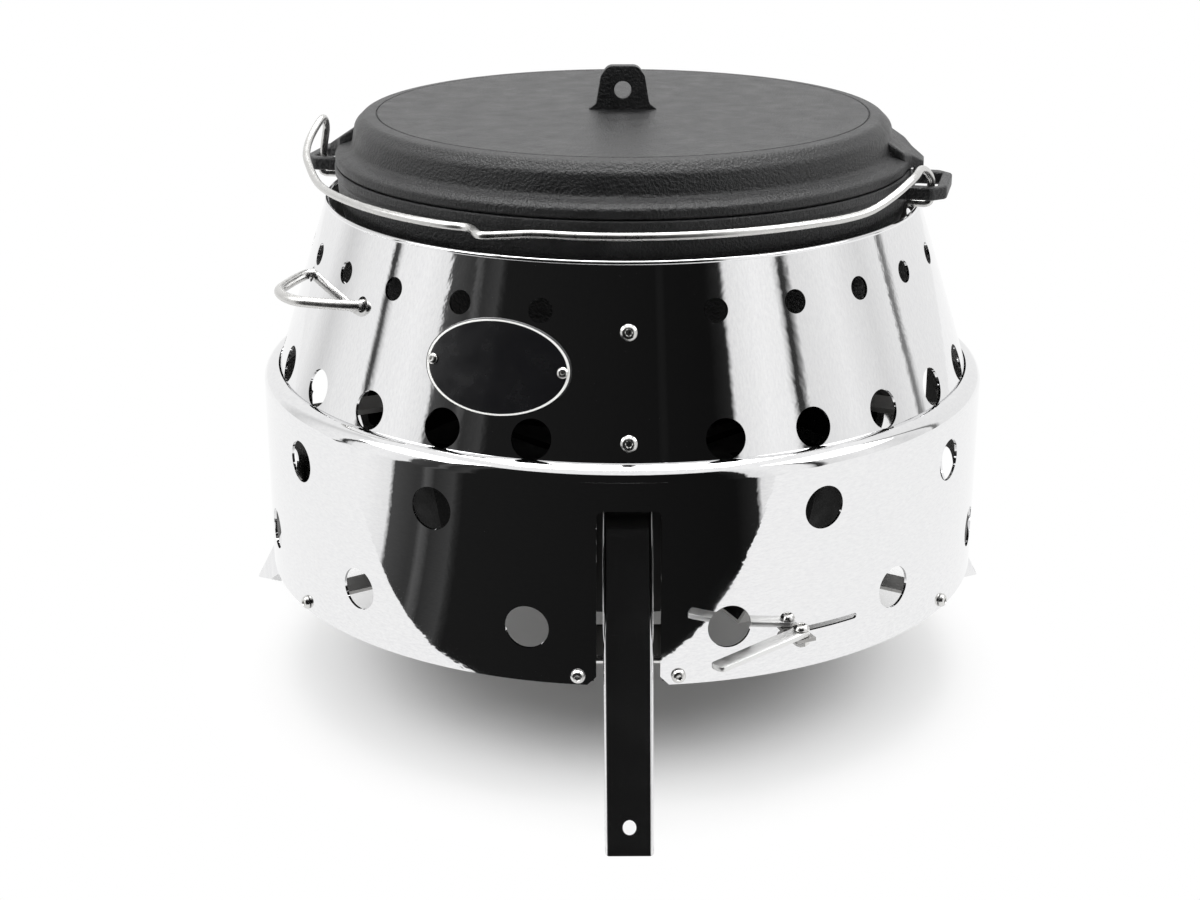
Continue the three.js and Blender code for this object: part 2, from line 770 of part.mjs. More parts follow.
// Wire of round section through its bend points
function wire(points, diameter, sides) {
    const path = new WirePath(points, false, 'catmullrom', 0.5);
    const steps = wireStepsPerBend * (points.length - 1);
    const section = new THREE.Shape();
    for (let i = 0; i < sides; i++) {
        const angle = 2 * Math.PI * i / sides;
        const [x, y] = [Math.cos(angle) * diameter / 2, Math.sin(angle) * diameter / 2];
        if (i === 0) section.moveTo(x, y);
        else section.lineTo(x, y);
    }
    return new THREE.ExtrudeGeometry(section, { steps, extrudePath: path, bevelEnabled: false });
}

// Side handle: a wire bow whose ends pass through the cone and hook down behind it
function makeHandle() {
    const [first, second] = handlePositions.map(place => place * pitch);
    const middle = (first + second) / 2;
    const spread = Math.abs(first - second) / 2 * degree;
    const wall = coneRadiusAt(handleHeight);
    const along = distance => [
        (wall + distance) * Math.sin(spread),
        (wall + distance) * Math.cos(spread),
    ];
    const [innerSide, innerOut] = along(-handleInside);
    const [holeSide, holeOut] = along(0);
    const [kneeSide, kneeOut] = along(handleRod * 0.8);
    const apexOut = wall + handleReach;
    const half = [
        [handleApexHalf, apexOut, 0],
        [handleApexHalf + (kneeSide - handleApexHalf) * 0.5, apexOut + (kneeOut - apexOut) * 0.42, 0],
        [kneeSide * 0.98, kneeOut, 0],
        [holeSide, holeOut, 0],
        [innerSide, innerOut, 0],
        [innerSide, innerOut - handleRod * 0.35, -handleRod * 0.7],
        [innerSide, innerOut - handleRod * 0.35, -handleHookDrop],
    ];
    const path = [...[...half].reverse(), ...half.map(([side, out, up]) => [-side, out, up])]
        .map(([side, out, up]) => new THREE.Vector3(side, -out, handleHeight + up));
    return wire(path, handleRod, bailSides).rotateZ(middle * degree);
}

// Name plate: a blank oval that follows the cone, held by two rivets
function makePlate() {
    const gap = seatGap * Math.sqrt(1 + coneSlope * coneSlope);
    const thick = plateSheet * Math.sqrt(1 + coneSlope * coneSlope);
    const low = plateHeight - plateHalfTall - overrun;
    const high = plateHeight + plateHalfTall + overrun;
    const shell = turned([
        [coneRadiusAt(low) + gap + thick, low],
        [coneRadiusAt(high) + gap + thick, high],
        [coneRadiusAt(high) + gap, high],
        [coneRadiusAt(low) + gap, low],
        [coneRadiusAt(low) + gap + thick, low],
    ]);
    const oval = rod(2, ringRadius / 3, plateSteps).scale(plateHalfWidth, 1, plateHalfTall);
    const azimuth = platePosition * pitch;
    const prism = onCone(oval, azimuth, plateHeight);
    const holes = [-1, 1].map(side => onCone(
        rod(rivetShank + shankClearance, 4 * overrun, fastenerSteps),
        plateRivetAzimuth(side), plateHeight));
    return cut(common(shell, prism), ...holes);
}

function makePlateRivet(side) {
    const stack = sheet + plateSheet + 3 * seatGap + facetSag;
    const head = rivetHead / 2;
    const radius = rivetShank / 2;
    const tail = rivetHead * 0.45;
    const rivet = turned([
        [0, -stack - rivetHeadHeight], [tail, -stack - rivetHeadHeight], [tail, -stack],
        [radius, -stack], [radius, 0], [head, 0], [head * 0.6, rivetHeadHeight], [0, rivetHeadHeight],
    ], fastenerSteps).rotateX(90 * degree);
    return onCone(rivet.translate(0, -plateSheet - 2 * seatGap, 0), plateRivetAzimuth(side), plateHeight);
}

// Pot rest: an angle welded inside the cone, its blade carrying the pot's floor
function makeRest(place) {
    const top = potBottom - seatGap;
    const low = top - restSheet;
    const inset = (sheet + seatGap) * Math.sqrt(1 + coneSlope * coneSlope);
    const sag = coneRadiusAt(low) - Math.sqrt(coneRadiusAt(low) ** 2 - (restWidth / 2) ** 2);
    const wallAt = height => coneRadiusAt(height) - inset - sag - seatGap;
    return strip([
        [restInner, low],
        [wallAt(low), low],
        [wallAt(top + restTab), top + restTab],
        [wallAt(top + restTab) - restSheet, top + restTab],
        [wallAt(top) - restSheet, top],
        [restInner, top],
    ], restWidth).rotateZ(place * pitch * degree);
}

// Pot with its two ears
function potProfile() {
    const rimLow = potRimTop - potRimHeight;
    const inner = potRimRadius - potRimWidth;
    const neck = rimLow - potNeckDown;
    return [
        [0, potBottom],
        [potBottomRadius, potBottom],
        [potBottomRadius + (potBelly - potBottomRadius) * 0.7, potBottom + potBellyUp * 0.3],
        [potBelly, potBottom + potBellyUp],
        [potNeckRadius, neck],
        [potRimRadius - castStep, rimLow - castStep],
        [potRimRadius, rimLow],
        [potRimRadius, potRimTop - castStep],
        [potRimRadius - castStep, potRimTop],
        [inner, potRimTop],
        [inner, rimLow],
        [potNeckRadius - potWall, neck],
        [potBelly - potWall, potBottom + potBellyUp],
        [potBottomRadius - potWall / 2, potBottom + potWall],
        [0, potBottom + potWall],
    ];
}

function makeEar() {
    const root = potNeckRadius - potWall / 2;
    const outline = [
        [-earHalf, root], [earHalf, root],
        [earHalf, earReach - earChamfer], [earHalf - earChamfer, earReach],
        [earChamfer - earHalf, earReach], [-earHalf, earReach - earChamfer],
    ];
    const slot = [
        [-earSlotHalf, earSlotInner], [earSlotHalf, earSlotInner],
        [earSlotHalf, earSlotOuter - earSlotChamfer], [earSlotHalf - earSlotChamfer, earSlotOuter],
        [earSlotChamfer - earSlotHalf, earSlotOuter], [-earSlotHalf, earSlotOuter - earSlotChamfer],
    ];
    const low = earTop - earThickness;
    return cut(slab(outline, earThickness, low), slab(slot, 3 * earThickness, low - earThickness));
}

function makePot() {
    const hollow = turned([
        [0, potBottom + potWall],
        [potBottomRadius - potWall / 2, potBottom + potWall],
        [potBelly - potWall, potBottom + potBellyUp],
        [potNeckRadius - potWall, potRimTop - potRimHeight - potNeckDown],
        [potRimRadius - potRimWidth, potRimTop - potRimHeight],
        [potRimRadius - potRimWidth, potRimTop + overrun],
        [0, potRimTop + overrun],
    ]);
    const ears = [0, 180].map(turn => makeEar().rotateZ((earAzimuth + turn) * degree));
    return cut(join(turned(potProfile()), ...ears), hollow);
}

// Lid: a domed cap with a flange, a locating lip, two lugs over the ears and a lifting tab
function makeLid() {
    const flangeLow = potRimTop + seatGap;
    const flangeTop = flangeLow + lidFlangeHeight;
    const underside = lidTop - lidWall;
    const lipInner = lidLipRadius - lidLipWidth;
    const shoulder = [[0.03, 1], [0.11, 0.71], [0.29, 0.39], [0.57, 0.13], [0.9, 0.03]]
        .map(([inward, down]) => [lidBodyRadius - inward * lidShoulder, lidTop - down * lidShoulder]);
    const profile = [
        [0, underside],
        [lidGrooveRadius, underside],
        [lipInner, flangeTop],
        [lipInner, flangeLow - lidLipDrop],
        [lidLipRadius, flangeLow - lidLipDrop],
        [lidLipRadius, flangeLow],
        [lidFlangeRadius - castStep, flangeLow],
        [lidFlangeRadius, flangeLow + castStep],
        [lidFlangeRadius, flangeTop - 3 * castStep],
        [lidFlangeRadius - castStep, flangeTop - 1.5 * castStep],
        [lidFlangeRadius - 0.4 * lidFlangeWidth, flangeTop],
        [lidBodyRadius + 0.25 * lidFlangeWidth, flangeTop + castStep],
        [lidBodyRadius, flangeTop + 3 * castStep],
        ...shoulder,
        [lidGrooveRadius + lidGrooveWidth, lidTop],
        [lidGrooveRadius + lidGrooveWidth / 2, lidTop - lidGrooveDepth],
        [lidGrooveRadius, lidTop],
        [0, lidTop],
    ];
    const lugs = [0, 180].map(turn => makeLug().rotateZ((earAzimuth + lidTurn + turn) * degree));
    return join(turned(profile), ...lugs, makeLidTab());
}

// A lug of the lid: a wedge that runs down over the ear and narrows to its end
function makeLug() {
    const root = lidBodyRadius - castStep;
    const low = potRimTop + seatGap + castStep;
    const step = potRimRadius + castStep;
    const endLow = earTop + lugAboveEar;
    const endTop = lidTop - lugEndDown;
    const side = strip([
        [root, low], [step, low], [step, endLow], [lugReach - castStep, endLow],
        [lugReach, endLow + castStep], [lugReach, endTop - castStep], [lugReach - castStep, endTop],
        [root, lidTop - lugRootDown],
    ], 2 * lugBaseHalf);
    const plan = slab([
        [-lugBaseHalf, root], [lugBaseHalf, root], [lugBaseHalf, lidFlangeRadius - 3 * castStep],
        [lugEndHalf, lugReach - castStep / 2], [lugEndHalf - 2 * castStep, lugReach],
        [2 * castStep - lugEndHalf, lugReach], [-lugEndHalf, lugReach - castStep / 2],
        [-lugBaseHalf, lidFlangeRadius - 3 * castStep],
    ], lidTop - earTop, earTop);
    return common(side, plan);
}

function makeLidTab() {
    const foot = tabBaseWidth / 2;
    const head = tabTopWidth / 2;
    const shape = new THREE.Shape();
    const sink = lidWall / 2;
    shape.moveTo(-foot - tabFootFlare, -sink);
    shape.lineTo(foot + tabFootFlare, -sink);
    shape.lineTo(foot + tabFootFlare, 0);
    shape.lineTo(foot, tabFootFlare);
    shape.lineTo(head, tabHeightAboveLid - tabCorner);
    shape.lineTo(head - tabCorner / 3, tabHeightAboveLid - tabCorner / 3);
    shape.lineTo(head - tabCorner, tabHeightAboveLid);
    shape.lineTo(tabCorner - head, tabHeightAboveLid);
    shape.lineTo(tabCorner / 3 - head, tabHeightAboveLid - tabCorner / 3);
    shape.lineTo(-head, tabHeightAboveLid - tabCorner);
    shape.lineTo(-foot, tabFootFlare);
    shape.lineTo(-foot - tabFootFlare, 0);
    const plate = new THREE.ExtrudeGeometry(shape, { depth: tabThickness, bevelEnabled: false })
        .translate(0, 0, -tabThickness / 2)
        .rotateX(90 * degree)
        .translate(0, 0, lidTop);
    return cut(plate, rod(tabHoleDiameter, 4 * tabThickness).translate(0, 0, lidTop + tabHoleUp));
}

// Bail, drawn for an ear axis along X with the wire lying towards -Y. Its hooks are not bent alike:
// the left one stands higher, over the lid's lug.
function bailSide(side) {
    const hingeOut = bailHingeSide;
    const low = -0.8 * bailHookRadius;
    const back = hingeOut - 0.6 * bailHookRadius;
    const leg = hingeOut - bailHookRadius;
    const span = bailHookSpan;
    const over = hingeOut + bailHookRadius * 1.75;
    const right = [
        [span, leg, bailHookRise * 0.05],
        [span, leg + bailHookRadius * 0.15, bailHookRise * 0.42],
        [span - bailHookLean, leg + bailHookRadius * 1.1, bailHookRise * 0.78],
        [span - 2 * bailHookLean, over, bailHookRise],
    ];
    const left = [
        [span, leg, 0],
        [span - bailHighHookLean * 0.1, leg - bailHookRadius * 0.15, bailHighHookRise * 0.33],
        [span - bailHighHookLean * 0.7, leg - bailHookRadius * 0.3, bailHighHookRise * 0.76],
        [span - bailHighHookLean, leg + bailHookRadius * 0.6, bailHighHookRise],
        [span - bailHighHookLean * 0.7, over, bailHighHookRise * 0.71],
    ];
    return [
        [span - bailEndLength, back, low],
        [span - bailEndLength * 0.5, back, low],
        [span - bailWire * 0.6, back, low],
        [span, back - bailWire * 0.1, low + bailWire * 0.35],
        ...(side > 0 ? right : left),
    ].map(([x, out, up]) => new THREE.Vector3(side * x, -out, bailAxisHeight + up));
}

// How far the front bow has climbed towards its hooks at an angle from its middle
function bailClimbAt(angle) {
    const share = Math.max(0, Math.abs(angle) - bailRiseFrom) / (bailArcEnd - bailRiseFrom);
    const height = angle > 0 ? bailHookRise * 0.8 : bailHighHookRise * 0.38;
    return bailFrontRise + height * share ** 1.4;
}

function bailRadiusAt(angle) {
    const from = notchAside - notchSteepAngle;
    const to = notchAside + notchGentleAngle;
    let share = 0;
    if (angle > from && angle <= notchAside) share = (angle - from) / notchSteepAngle;
    if (angle > notchAside && angle < to) share = (to - angle) / notchGentleAngle;
    const flare = Math.max(0, Math.abs(angle) - bailFlareFrom) / (bailArcEnd - bailFlareFrom);
    return bailArcRadius + notchOut * share + bailFlare * flare * flare;
}

function makeBail() {
    const angles = [notchAside - notchSteepAngle, notchAside, notchAside + notchGentleAngle];
    for (let i = 0; i <= bailArcSteps; i++) {
        const angle = -bailArcEnd + 2 * bailArcEnd * i / bailArcSteps;
        if (angles.slice(0, 3).every(taken => Math.abs(taken - angle) > notchSteepAngle / 2)) {
            angles.push(angle);
        }
    }
    angles.sort((a, b) => a - b);
    const arc = angles.map(angle => {
        const radius = bailRadiusAt(angle);
        const x = radius * Math.sin(angle * degree);
        const out = radius * Math.cos(angle * degree);
        return new THREE.Vector3(x, -out, bailAxisHeight + bailClimbAt(angle));
    });
    const path = [...bailSide(-1), ...arc, ...bailSide(1).reverse()];
    return wire(path, bailWire, bailSides).rotateZ((earAzimuth - 90) * degree);
}

// Assembly
const model = new THREE.Group();
const stove = new THREE.Group();
stove.position.set(0, frameShift, ringTopZ);
model.add(stove);

function add(name, geometry, material) {
    const mesh = new THREE.Mesh(geometry, material);
    mesh.name = name;
    stove.add(mesh);
}

add('stove_ring', makeRing(), polished);
add('stove_cone', makeCone(), polished);
seamScrewRows.forEach((row, i) => {
    add(`seam_screw_${i + 1}`, makeSeamScrew(row), satin);
    add(`seam_nut_${i + 1}`, makeSeamNut(row), satin);
});
lowScrewAzimuths().forEach((azimuth, i) => {
    add(`ring_screw_${i + 1}`, makeLowScrew(azimuth), satin);
});
for (const [side, azimuth] of Object.entries(legAzimuths)) {
    add(`leg_bracket_${side}`, makeBracket(azimuth), satin);
    add(`leg_pin_${side}`, makePin(azimuth), satin);
    add(`leg_${side}`, makeLeg(azimuth), polished);
}
add('fire_bowl', makeBowl(), blackened);
supportPositions.forEach((place, i) => {
    add(`bowl_support_${i + 1}`, makeSupport(place * pitch), satin);
});
add('charcoal_grate', makeGrate(), blackened);
add('air_shutter', makeShutter(), satin);
add('shutter_pin', makeShutterPin(), satin);
add('air_lever', makeLever(), polished);
add('lever_screw', makeLeverScrew(), satin);
add('lever_nut', makeLeverNut(), satin);
add('side_handle', makeHandle(), satin);
add('name_plate', makePlate(), enamel);
[-1, 1].forEach((side, i) => {
    add(`plate_rivet_${i + 1}`, makePlateRivet(side), satin);
});
restPositions.forEach((place, i) => {
    add(`pot_rest_${i + 1}`, makeRest(place), satin);
});
add('pot', makePot(), castIron);
add('lid', makeLid(), castIron);
add('bail', makeBail(), satin);

export default model;
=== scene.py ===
"""Dresses the dutch oven and its folding stove: smooth sheet metal, cast iron, bent wire, light and camera.

Shapes are worked out in millimetres in the stove's own frame (its axis at x = y = 0, its ring's lower edge
at z = 0, an azimuth counted from the front towards +X), and placed in the row's frame by place().
"""

import math

import bmesh
import bpy
from mathutils import Matrix, Vector
from mathutils.geometry import delaunay_2d_cdt


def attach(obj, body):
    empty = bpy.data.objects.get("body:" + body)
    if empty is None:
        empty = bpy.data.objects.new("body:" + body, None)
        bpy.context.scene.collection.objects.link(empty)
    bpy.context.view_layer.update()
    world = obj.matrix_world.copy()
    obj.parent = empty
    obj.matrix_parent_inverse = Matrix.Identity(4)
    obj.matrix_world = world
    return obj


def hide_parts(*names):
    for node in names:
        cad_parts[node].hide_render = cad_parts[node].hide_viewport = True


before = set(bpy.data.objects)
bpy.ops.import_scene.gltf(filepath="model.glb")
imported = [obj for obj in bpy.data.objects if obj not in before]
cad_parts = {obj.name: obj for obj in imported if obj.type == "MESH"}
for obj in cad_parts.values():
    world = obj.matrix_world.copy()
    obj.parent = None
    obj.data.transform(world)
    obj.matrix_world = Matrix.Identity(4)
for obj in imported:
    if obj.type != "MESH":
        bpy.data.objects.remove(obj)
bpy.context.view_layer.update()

# Sizes in millimetres, after the part's source. A PLACE is counted from the front in pitches of the
# holes, and PITCH and each AZIMUTH or ANGLE is in degrees.
MM = 0.001
AXIS_Y = 25.95
RING_LIFT = 75.0
PITCH = 14.4
SHEET = 1.5
GAP = 0.3

RING_RADIUS = 225.0
RING_HEIGHT = 127.3
RING_HOLE = 25.0
RING_ROWS = (32.4, 94.7)
LAST_HOLE = 12
LEG_PLACE = 8
SLOT_HALF = 17.7
SLOT_TOP = 103.0
SLOT_CORNER = 4.0
SLOT_CHAMFER = 5.0
BRACKET_SCREW_ANGLE = 7.1
LOW_SCREW_HEIGHT = 5.2
SUPPORT_PLACES = (4, -4, 12.5)

CONE_LOW = 110.0
CONE_TOP = 230.5
CONE_TOP_RADIUS = 181.8
CONE_SLOPE = 0.322636
CONE_LEAN = math.atan(CONE_SLOPE)
SMALL_HOLE, SMALL_ROW = 13.5, 203.7
LARGE_HOLE, LARGE_ROW = 22.5, 137.5
LAP_HALF_ANGLE = 4.35
LAP_JOGGLE_ANGLE = 1.6
LAP_STEP = SHEET + 0.05
SEAM_SCREW_ROWS = (193.9, 137.1)
HEM_RADIUS, HEM_INSET = 1.35, 0.15

# Head, socket, shank and length of each kind of screw
SEAM_SCREW = (9.4, 3.0, 4.6, 6.8)
RING_SCREW = (8.2, 2.6, 4.6, 8.0)
LEVER_SCREW = (9.0, 3.0, 4.0, 10.3)
SCREW_HEAD_HEIGHT = 2.8

PLATE_PLACE = -1.46
PLATE_HEIGHT = 173.0
PLATE_HALF = (43.0, 26.5)
PLATE_THICK = 1.2
PLATE_RIVET_OFFSET = 38.0
# Inner and outer edge of the plate's border: each a share of the oval and of the plate's thickness
PLATE_BORDER = ((0.945, 1.0), (0.98, 1.0))

FOOT_RADIUS = 280.0
LEG_LEAN = math.radians(29)
LEG_LENGTH = 191.0
LEG_FOOT_WIDTH, LEG_TOP_WIDTH = 26.4, 28.7
LEG_DEPTH = 20.0
LEG_SHEET = 2.0
LEG_BEND = 2.6
LEG_HOLE_RADIUS, LEG_HOLE_HEIGHT = 4.0, 15.2
PIN_HOLE_RADIUS = 2.8
LEG_AZIMUTHS = {"front": 0.0, "right": LEG_PLACE * PITCH, "left": -LEG_PLACE * PITCH}
PIN_RADIUS, PIN_HEIGHT = 216.0, 12.0

# The handle's holes in the cone, and its bent rod
HANDLE_PLACES = (-3.5, -5.1)
HANDLE_HEIGHT = 190.6
HANDLE_HOLE = 9.4
HANDLE_ROD = 6.2
HANDLE_REACH = 27.5
HANDLE_END_HALF = 10.0
HANDLE_INSIDE, HANDLE_HOOK_DROP = 9.0, 9.0

# The slot in the ring that the air shutter's tab comes out of, and the lever on that tab
AIR_SLOT_ROWS = (21.8, 25.2)
AIR_SLOT_AZIMUTHS = (21.7, 35.5)
AIR_SLOT_CORNER = 1.7
LEVER_AZIMUTH, LEVER_TURN = 24.4, -72.0
LEVER_PIVOT_RADIUS = 233.0
LEVER_HALF, LEVER_END = 4.75, 67.8
LEVER_HOLE_RADIUS = 2.2
LEVER_LOW, LEVER_TOP = 24.8, 27.8

# The pot's rim and ears, and how far round the lid and the bail stand
RIM_TOP = 250.5
EAR_LOW, EAR_TOP = 238.2, 246.0
EAR_AZIMUTH = 76.0
LID_TURN = 5.0
LID_TOP = 280.0


def cone_radius(height):
    """Radius of the cone's outer face."""
    return CONE_TOP_RADIUS + CONE_SLOPE * (CONE_TOP - height)


# Mesh helpers


def polar(radius, azimuth, height):
    """A point of the stove frame, from its distance to the axis and its azimuth in degrees."""
    turn = math.radians(azimuth)
    return Vector((radius * math.sin(turn), -radius * math.cos(turn), height))


def place(point):
    """From millimetres in the stove's frame to metres in the row's frame."""
    return Vector((point[0] * MM, (point[1] + AXIS_Y) * MM, (point[2] + RING_LIFT) * MM))


def linked(name, data):
    """A new object for some data, in the scene."""
    made = bpy.data.objects.new(name, data)
    bpy.context.scene.collection.objects.link(made)
    return made


def new_piece(name, points, faces, materials, slots=None, normals=None):
    """An object from points in millimetres. normals, if given, are one per face corner."""
    mesh = bpy.data.meshes.new(name)
    mesh.from_pydata([place(point) for point in points], [], faces)
    for material in materials:
        mesh.materials.append(material)
    if slots:
        mesh.polygons.foreach_set("material_index", slots)
    mesh.polygons.foreach_set("use_smooth", [True] * len(mesh.polygons))
    mesh.update()
    if normals:
        mesh.normals_split_custom_set(normals)
    return linked(name, mesh)


def soften(piece, angle=32.0):
    """Smooth shading that keeps the edges sharper than angle."""
    mesh = piece.data
    work = bmesh.new()
    work.from_mesh(mesh)
    for edge in work.edges:
        folded = len(edge.link_faces) == 2 and edge.calc_face_angle(0.0) > math.radians(angle)
        edge.smooth = not folded
    for face in work.faces:
        face.smooth = True
    work.to_mesh(mesh)
    work.free()
    return piece


def put(piece, body, slot, *nodes):
    """Lets a piece ride on its body and stand for its CAD nodes. slot, the name of its finish, is not used.
    """
    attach(piece, body)
    if nodes:
        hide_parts(*nodes)


def inside(point, loop):
    """Whether a point lies inside a closed loop, by the crossings of a level line."""
    x, y = point
    odd = False
    last_x, last_y = loop[-1]
    for next_x, next_y in loop:
        if (next_y > y) != (last_y > y):
            if x < (last_x - next_x) * (y - next_y) / (last_y - next_y) + next_x:
                odd = not odd
        last_x, last_y = next_x, next_y
    return odd


def flat_loops(loops):
    """All points of some closed loops, with the edges between them."""
    points, edges = [], []
    for loop in loops:
        first = len(points)
        points.extend(Vector(point) for point in loop)
        edges.extend((first + i, first + (i + 1) % len(loop)) for i in range(len(loop)))
    return points, edges


def box_of(loop, margin):
    xs = [x for x, _ in loop]
    ys = [y for _, y in loop]
    return min(xs) - margin, min(ys) - margin, max(xs) + margin, max(ys) + margin


def in_box(point, box):
    return box[0] <= point[0] <= box[2] and box[1] <= point[1] <= box[3]


def sheet_normal(surface, u, v):
    """The way a sheet faces, from two short steps across it."""
    step = 0.02
    along = surface(u + step, v) - surface(u - step, v)
    up = surface(u, v + step) - surface(u, v - step)
    return along.cross(up).normalized()


def punched_sheet(name, outline, holes, grid, surface, thickness, materials):
    """Sheet metal cut flat to an outline with holes, then bent: surface(u, v) is its outer face."""
    flat, edges = flat_loops([outline, *holes])
    boxes = [box_of(hole, margin=1.2) for hole in holes]
    for point in grid:
        if any(in_box(point, box) for box in boxes):
            continue
        if inside(point, outline):
            flat.append(Vector(point))
    flat, _, triangles, *_ = delaunay_2d_cdt(flat, edges, [], 0, 1e-5)
    hole_boxes = [box_of(hole, margin=0.0) for hole in holes]
    kept = []
    for triangle in triangles:
        middle = sum((flat[i] for i in triangle), Vector((0, 0))) / 3
        if any(in_box(middle, box) and inside(middle, hole) for box, hole in zip(hole_boxes, holes)):
            continue
        if inside(middle, outline):
            kept.append(tuple(triangle))

    # Points that meet at a closed seam become one
    index, outer, facing, where = {}, [], [], []
    for u, v in flat:
        point = surface(u, v)
        key = tuple(round(c, 3) for c in point)
        if key not in index:
            index[key] = len(outer)
            outer.append(point)
            facing.append(sheet_normal(surface, u, v))
        where.append(index[key])
    kept = [tuple(where[i] for i in triangle) for triangle in kept]
    kept = [triangle for triangle in kept if len(set(triangle)) == 3]
    count = len(outer)
    points = outer + [point - normal * thickness for point, normal in zip(outer, facing)]
    faces, normals, slots = [], [], []
    sides = {}
    for a, b, c in kept:
        if (outer[b] - outer[a]).cross(outer[c] - outer[a]).dot(facing[a]) < 0:
            b, c = c, b
        faces.append((a, b, c))
        normals.extend((facing[a], facing[b], facing[c]))
        faces.append((c + count, b + count, a + count))
        normals.extend((-facing[c], -facing[b], -facing[a]))
        slots.extend((0, len(materials) - 1))
        for side in ((a, b), (b, c), (c, a)):
            if (side[1], side[0]) in sides:
                del sides[(side[1], side[0])]
            else:
                sides[side] = True
    wall_normals = {(a, b): (outer[b] - outer[a]).cross(facing[a]).normalized() for a, b in sides}
    leaving = {a: (a, b) for a, b in sides}
    arriving = {b: (a, b) for a, b in sides}
    # Where the cut edge runs on smoothly, by less than about 37 degrees, its faces are shaded as one
    for a, b in sides:
        own = wall_normals[(a, b)]
        ends = []
        for other in (arriving.get(a), leaving.get(b)):
            if other and wall_normals[other].dot(own) > 0.8:
                ends.append((wall_normals[other] + own).normalized())
            else:
                ends.append(own)
        faces.append((b, a, a + count, b + count))
        normals.extend((ends[1], ends[0], ends[0], ends[1]))
        slots.append(0)
    used = sorted({i for face in faces for i in face})
    renumber = {old: new for new, old in enumerate(used)}
    points = [points[i] for i in used]
    faces = [tuple(renumber[i] for i in face) for face in faces]
    return new_piece(name, points, faces, materials, slots=slots, normals=normals)


def circle(count):
    """Points of a circle of radius 1."""
    return [(math.cos(2 * math.pi * i / count), math.sin(2 * math.pi * i / count)) for i in range(count)]


def circle_at(x, y, radius, count):
    """A closed loop round (x, y)."""
    return [(x + radius * across, y + radius * up) for across, up in circle(count)]


def spaced(first, last, step):
    """Even values from first to last, at most step apart."""
    count = max(1, math.ceil(abs(last - first) / step))
    return [first + (last - first) * i / count for i in range(count + 1)]


def ring_mesh(rows, steps, spot, closed=False):
    """Points and faces of rings about an axis. spot(row, turn) is a point, and a row that starts
    with 0 is one point on the axis."""
    points, rings, faces = [], [], []
    for row in rows:
        turns = [2 * math.pi * i / steps for i in range(steps if row[0] > 1e-6 else 1)]
        rings.append(range(len(points), len(points) + len(turns)))
        points += [spot(row, turn) for turn in turns]
    pairs = list(zip(rings, rings[1:] + rings[:1] if closed else rings[1:]))
    for low, high in pairs:
        for i in range(steps):
            k = (i + 1) % steps
            if len(low) == 1:
                faces.append((low[0], high[k], high[i]))
            elif len(high) == 1:
                faces.append((low[i], low[k], high[0]))
            else:
                faces.append((low[i], low[k], high[k], high[i]))
    return points, faces


def revolved(name, profile, steps, material, move=None, shape=None):
    """A body of revolution about Z. Its profile starts and ends on the axis, or closes on itself."""
    def spot(row, turn):
        reach = row[0] * (shape(row[0], turn) if shape else 1.0)
        point = Vector((reach * math.sin(turn), -reach * math.cos(turn), row[1]))
        return move(point) if move else point

    closed = profile[0] == profile[-1]
    points, faces = ring_mesh(profile[:-1] if closed else profile, steps, spot, closed)
    return soften(new_piece(name, points, faces, [material]))


def rounded(corners, steps, closed=False):
    """A profile with its corners rounded. Each corner is (x, y) or (x, y, radius)."""
    result = []
    count = len(corners)
    for i, corner in enumerate(corners):
        here = Vector(corner[:2])
        radius = corner[2] if len(corner) > 2 else 0.0
        if radius <= 0 or (not closed and i in (0, count - 1)):
            result.append(tuple(here))
            continue
        back = Vector(corners[i - 1][:2]) - here
        ahead = Vector(corners[(i + 1) % count][:2]) - here
        half = back.angle(ahead) / 2
        cut = min(radius / math.tan(half), back.length * 0.49, ahead.length * 0.49)
        start = here + back.normalized() * cut
        end = here + ahead.normalized() * cut
        for k in range(steps + 1):
            t = k / steps
            result.append(tuple(start * (1 - t) ** 2 + here * 2 * t * (1 - t) + end * t * t))
    return result


def mirrored(right):
    """A closed outline from its right half, walked outward, and the mirror image of that half."""
    left = [(-corner[0], *corner[1:]) for corner in right]
    return left[:1] + right + left[:0:-1]


def smooth_path(bends):
    """A smooth path through all its bends."""
    path = []
    count, steps = len(bends), 8
    for i in range(count - 1):
        before = bends[i - 1] if i else bends[0] * 2 - bends[1]
        here, there = bends[i], bends[i + 1]
        after = bends[i + 2] if i + 2 < count else bends[-1] * 2 - bends[-2]
        for k in range(steps):
            t = k / steps
            path.append(0.5 * (here * 2 + (there - before) * t
                               + (before * 2 - here * 5 + there * 4 - after) * t ** 2
                               + (here * 3 - before - there * 3 + after) * t ** 3))
    return path + [bends[-1]]


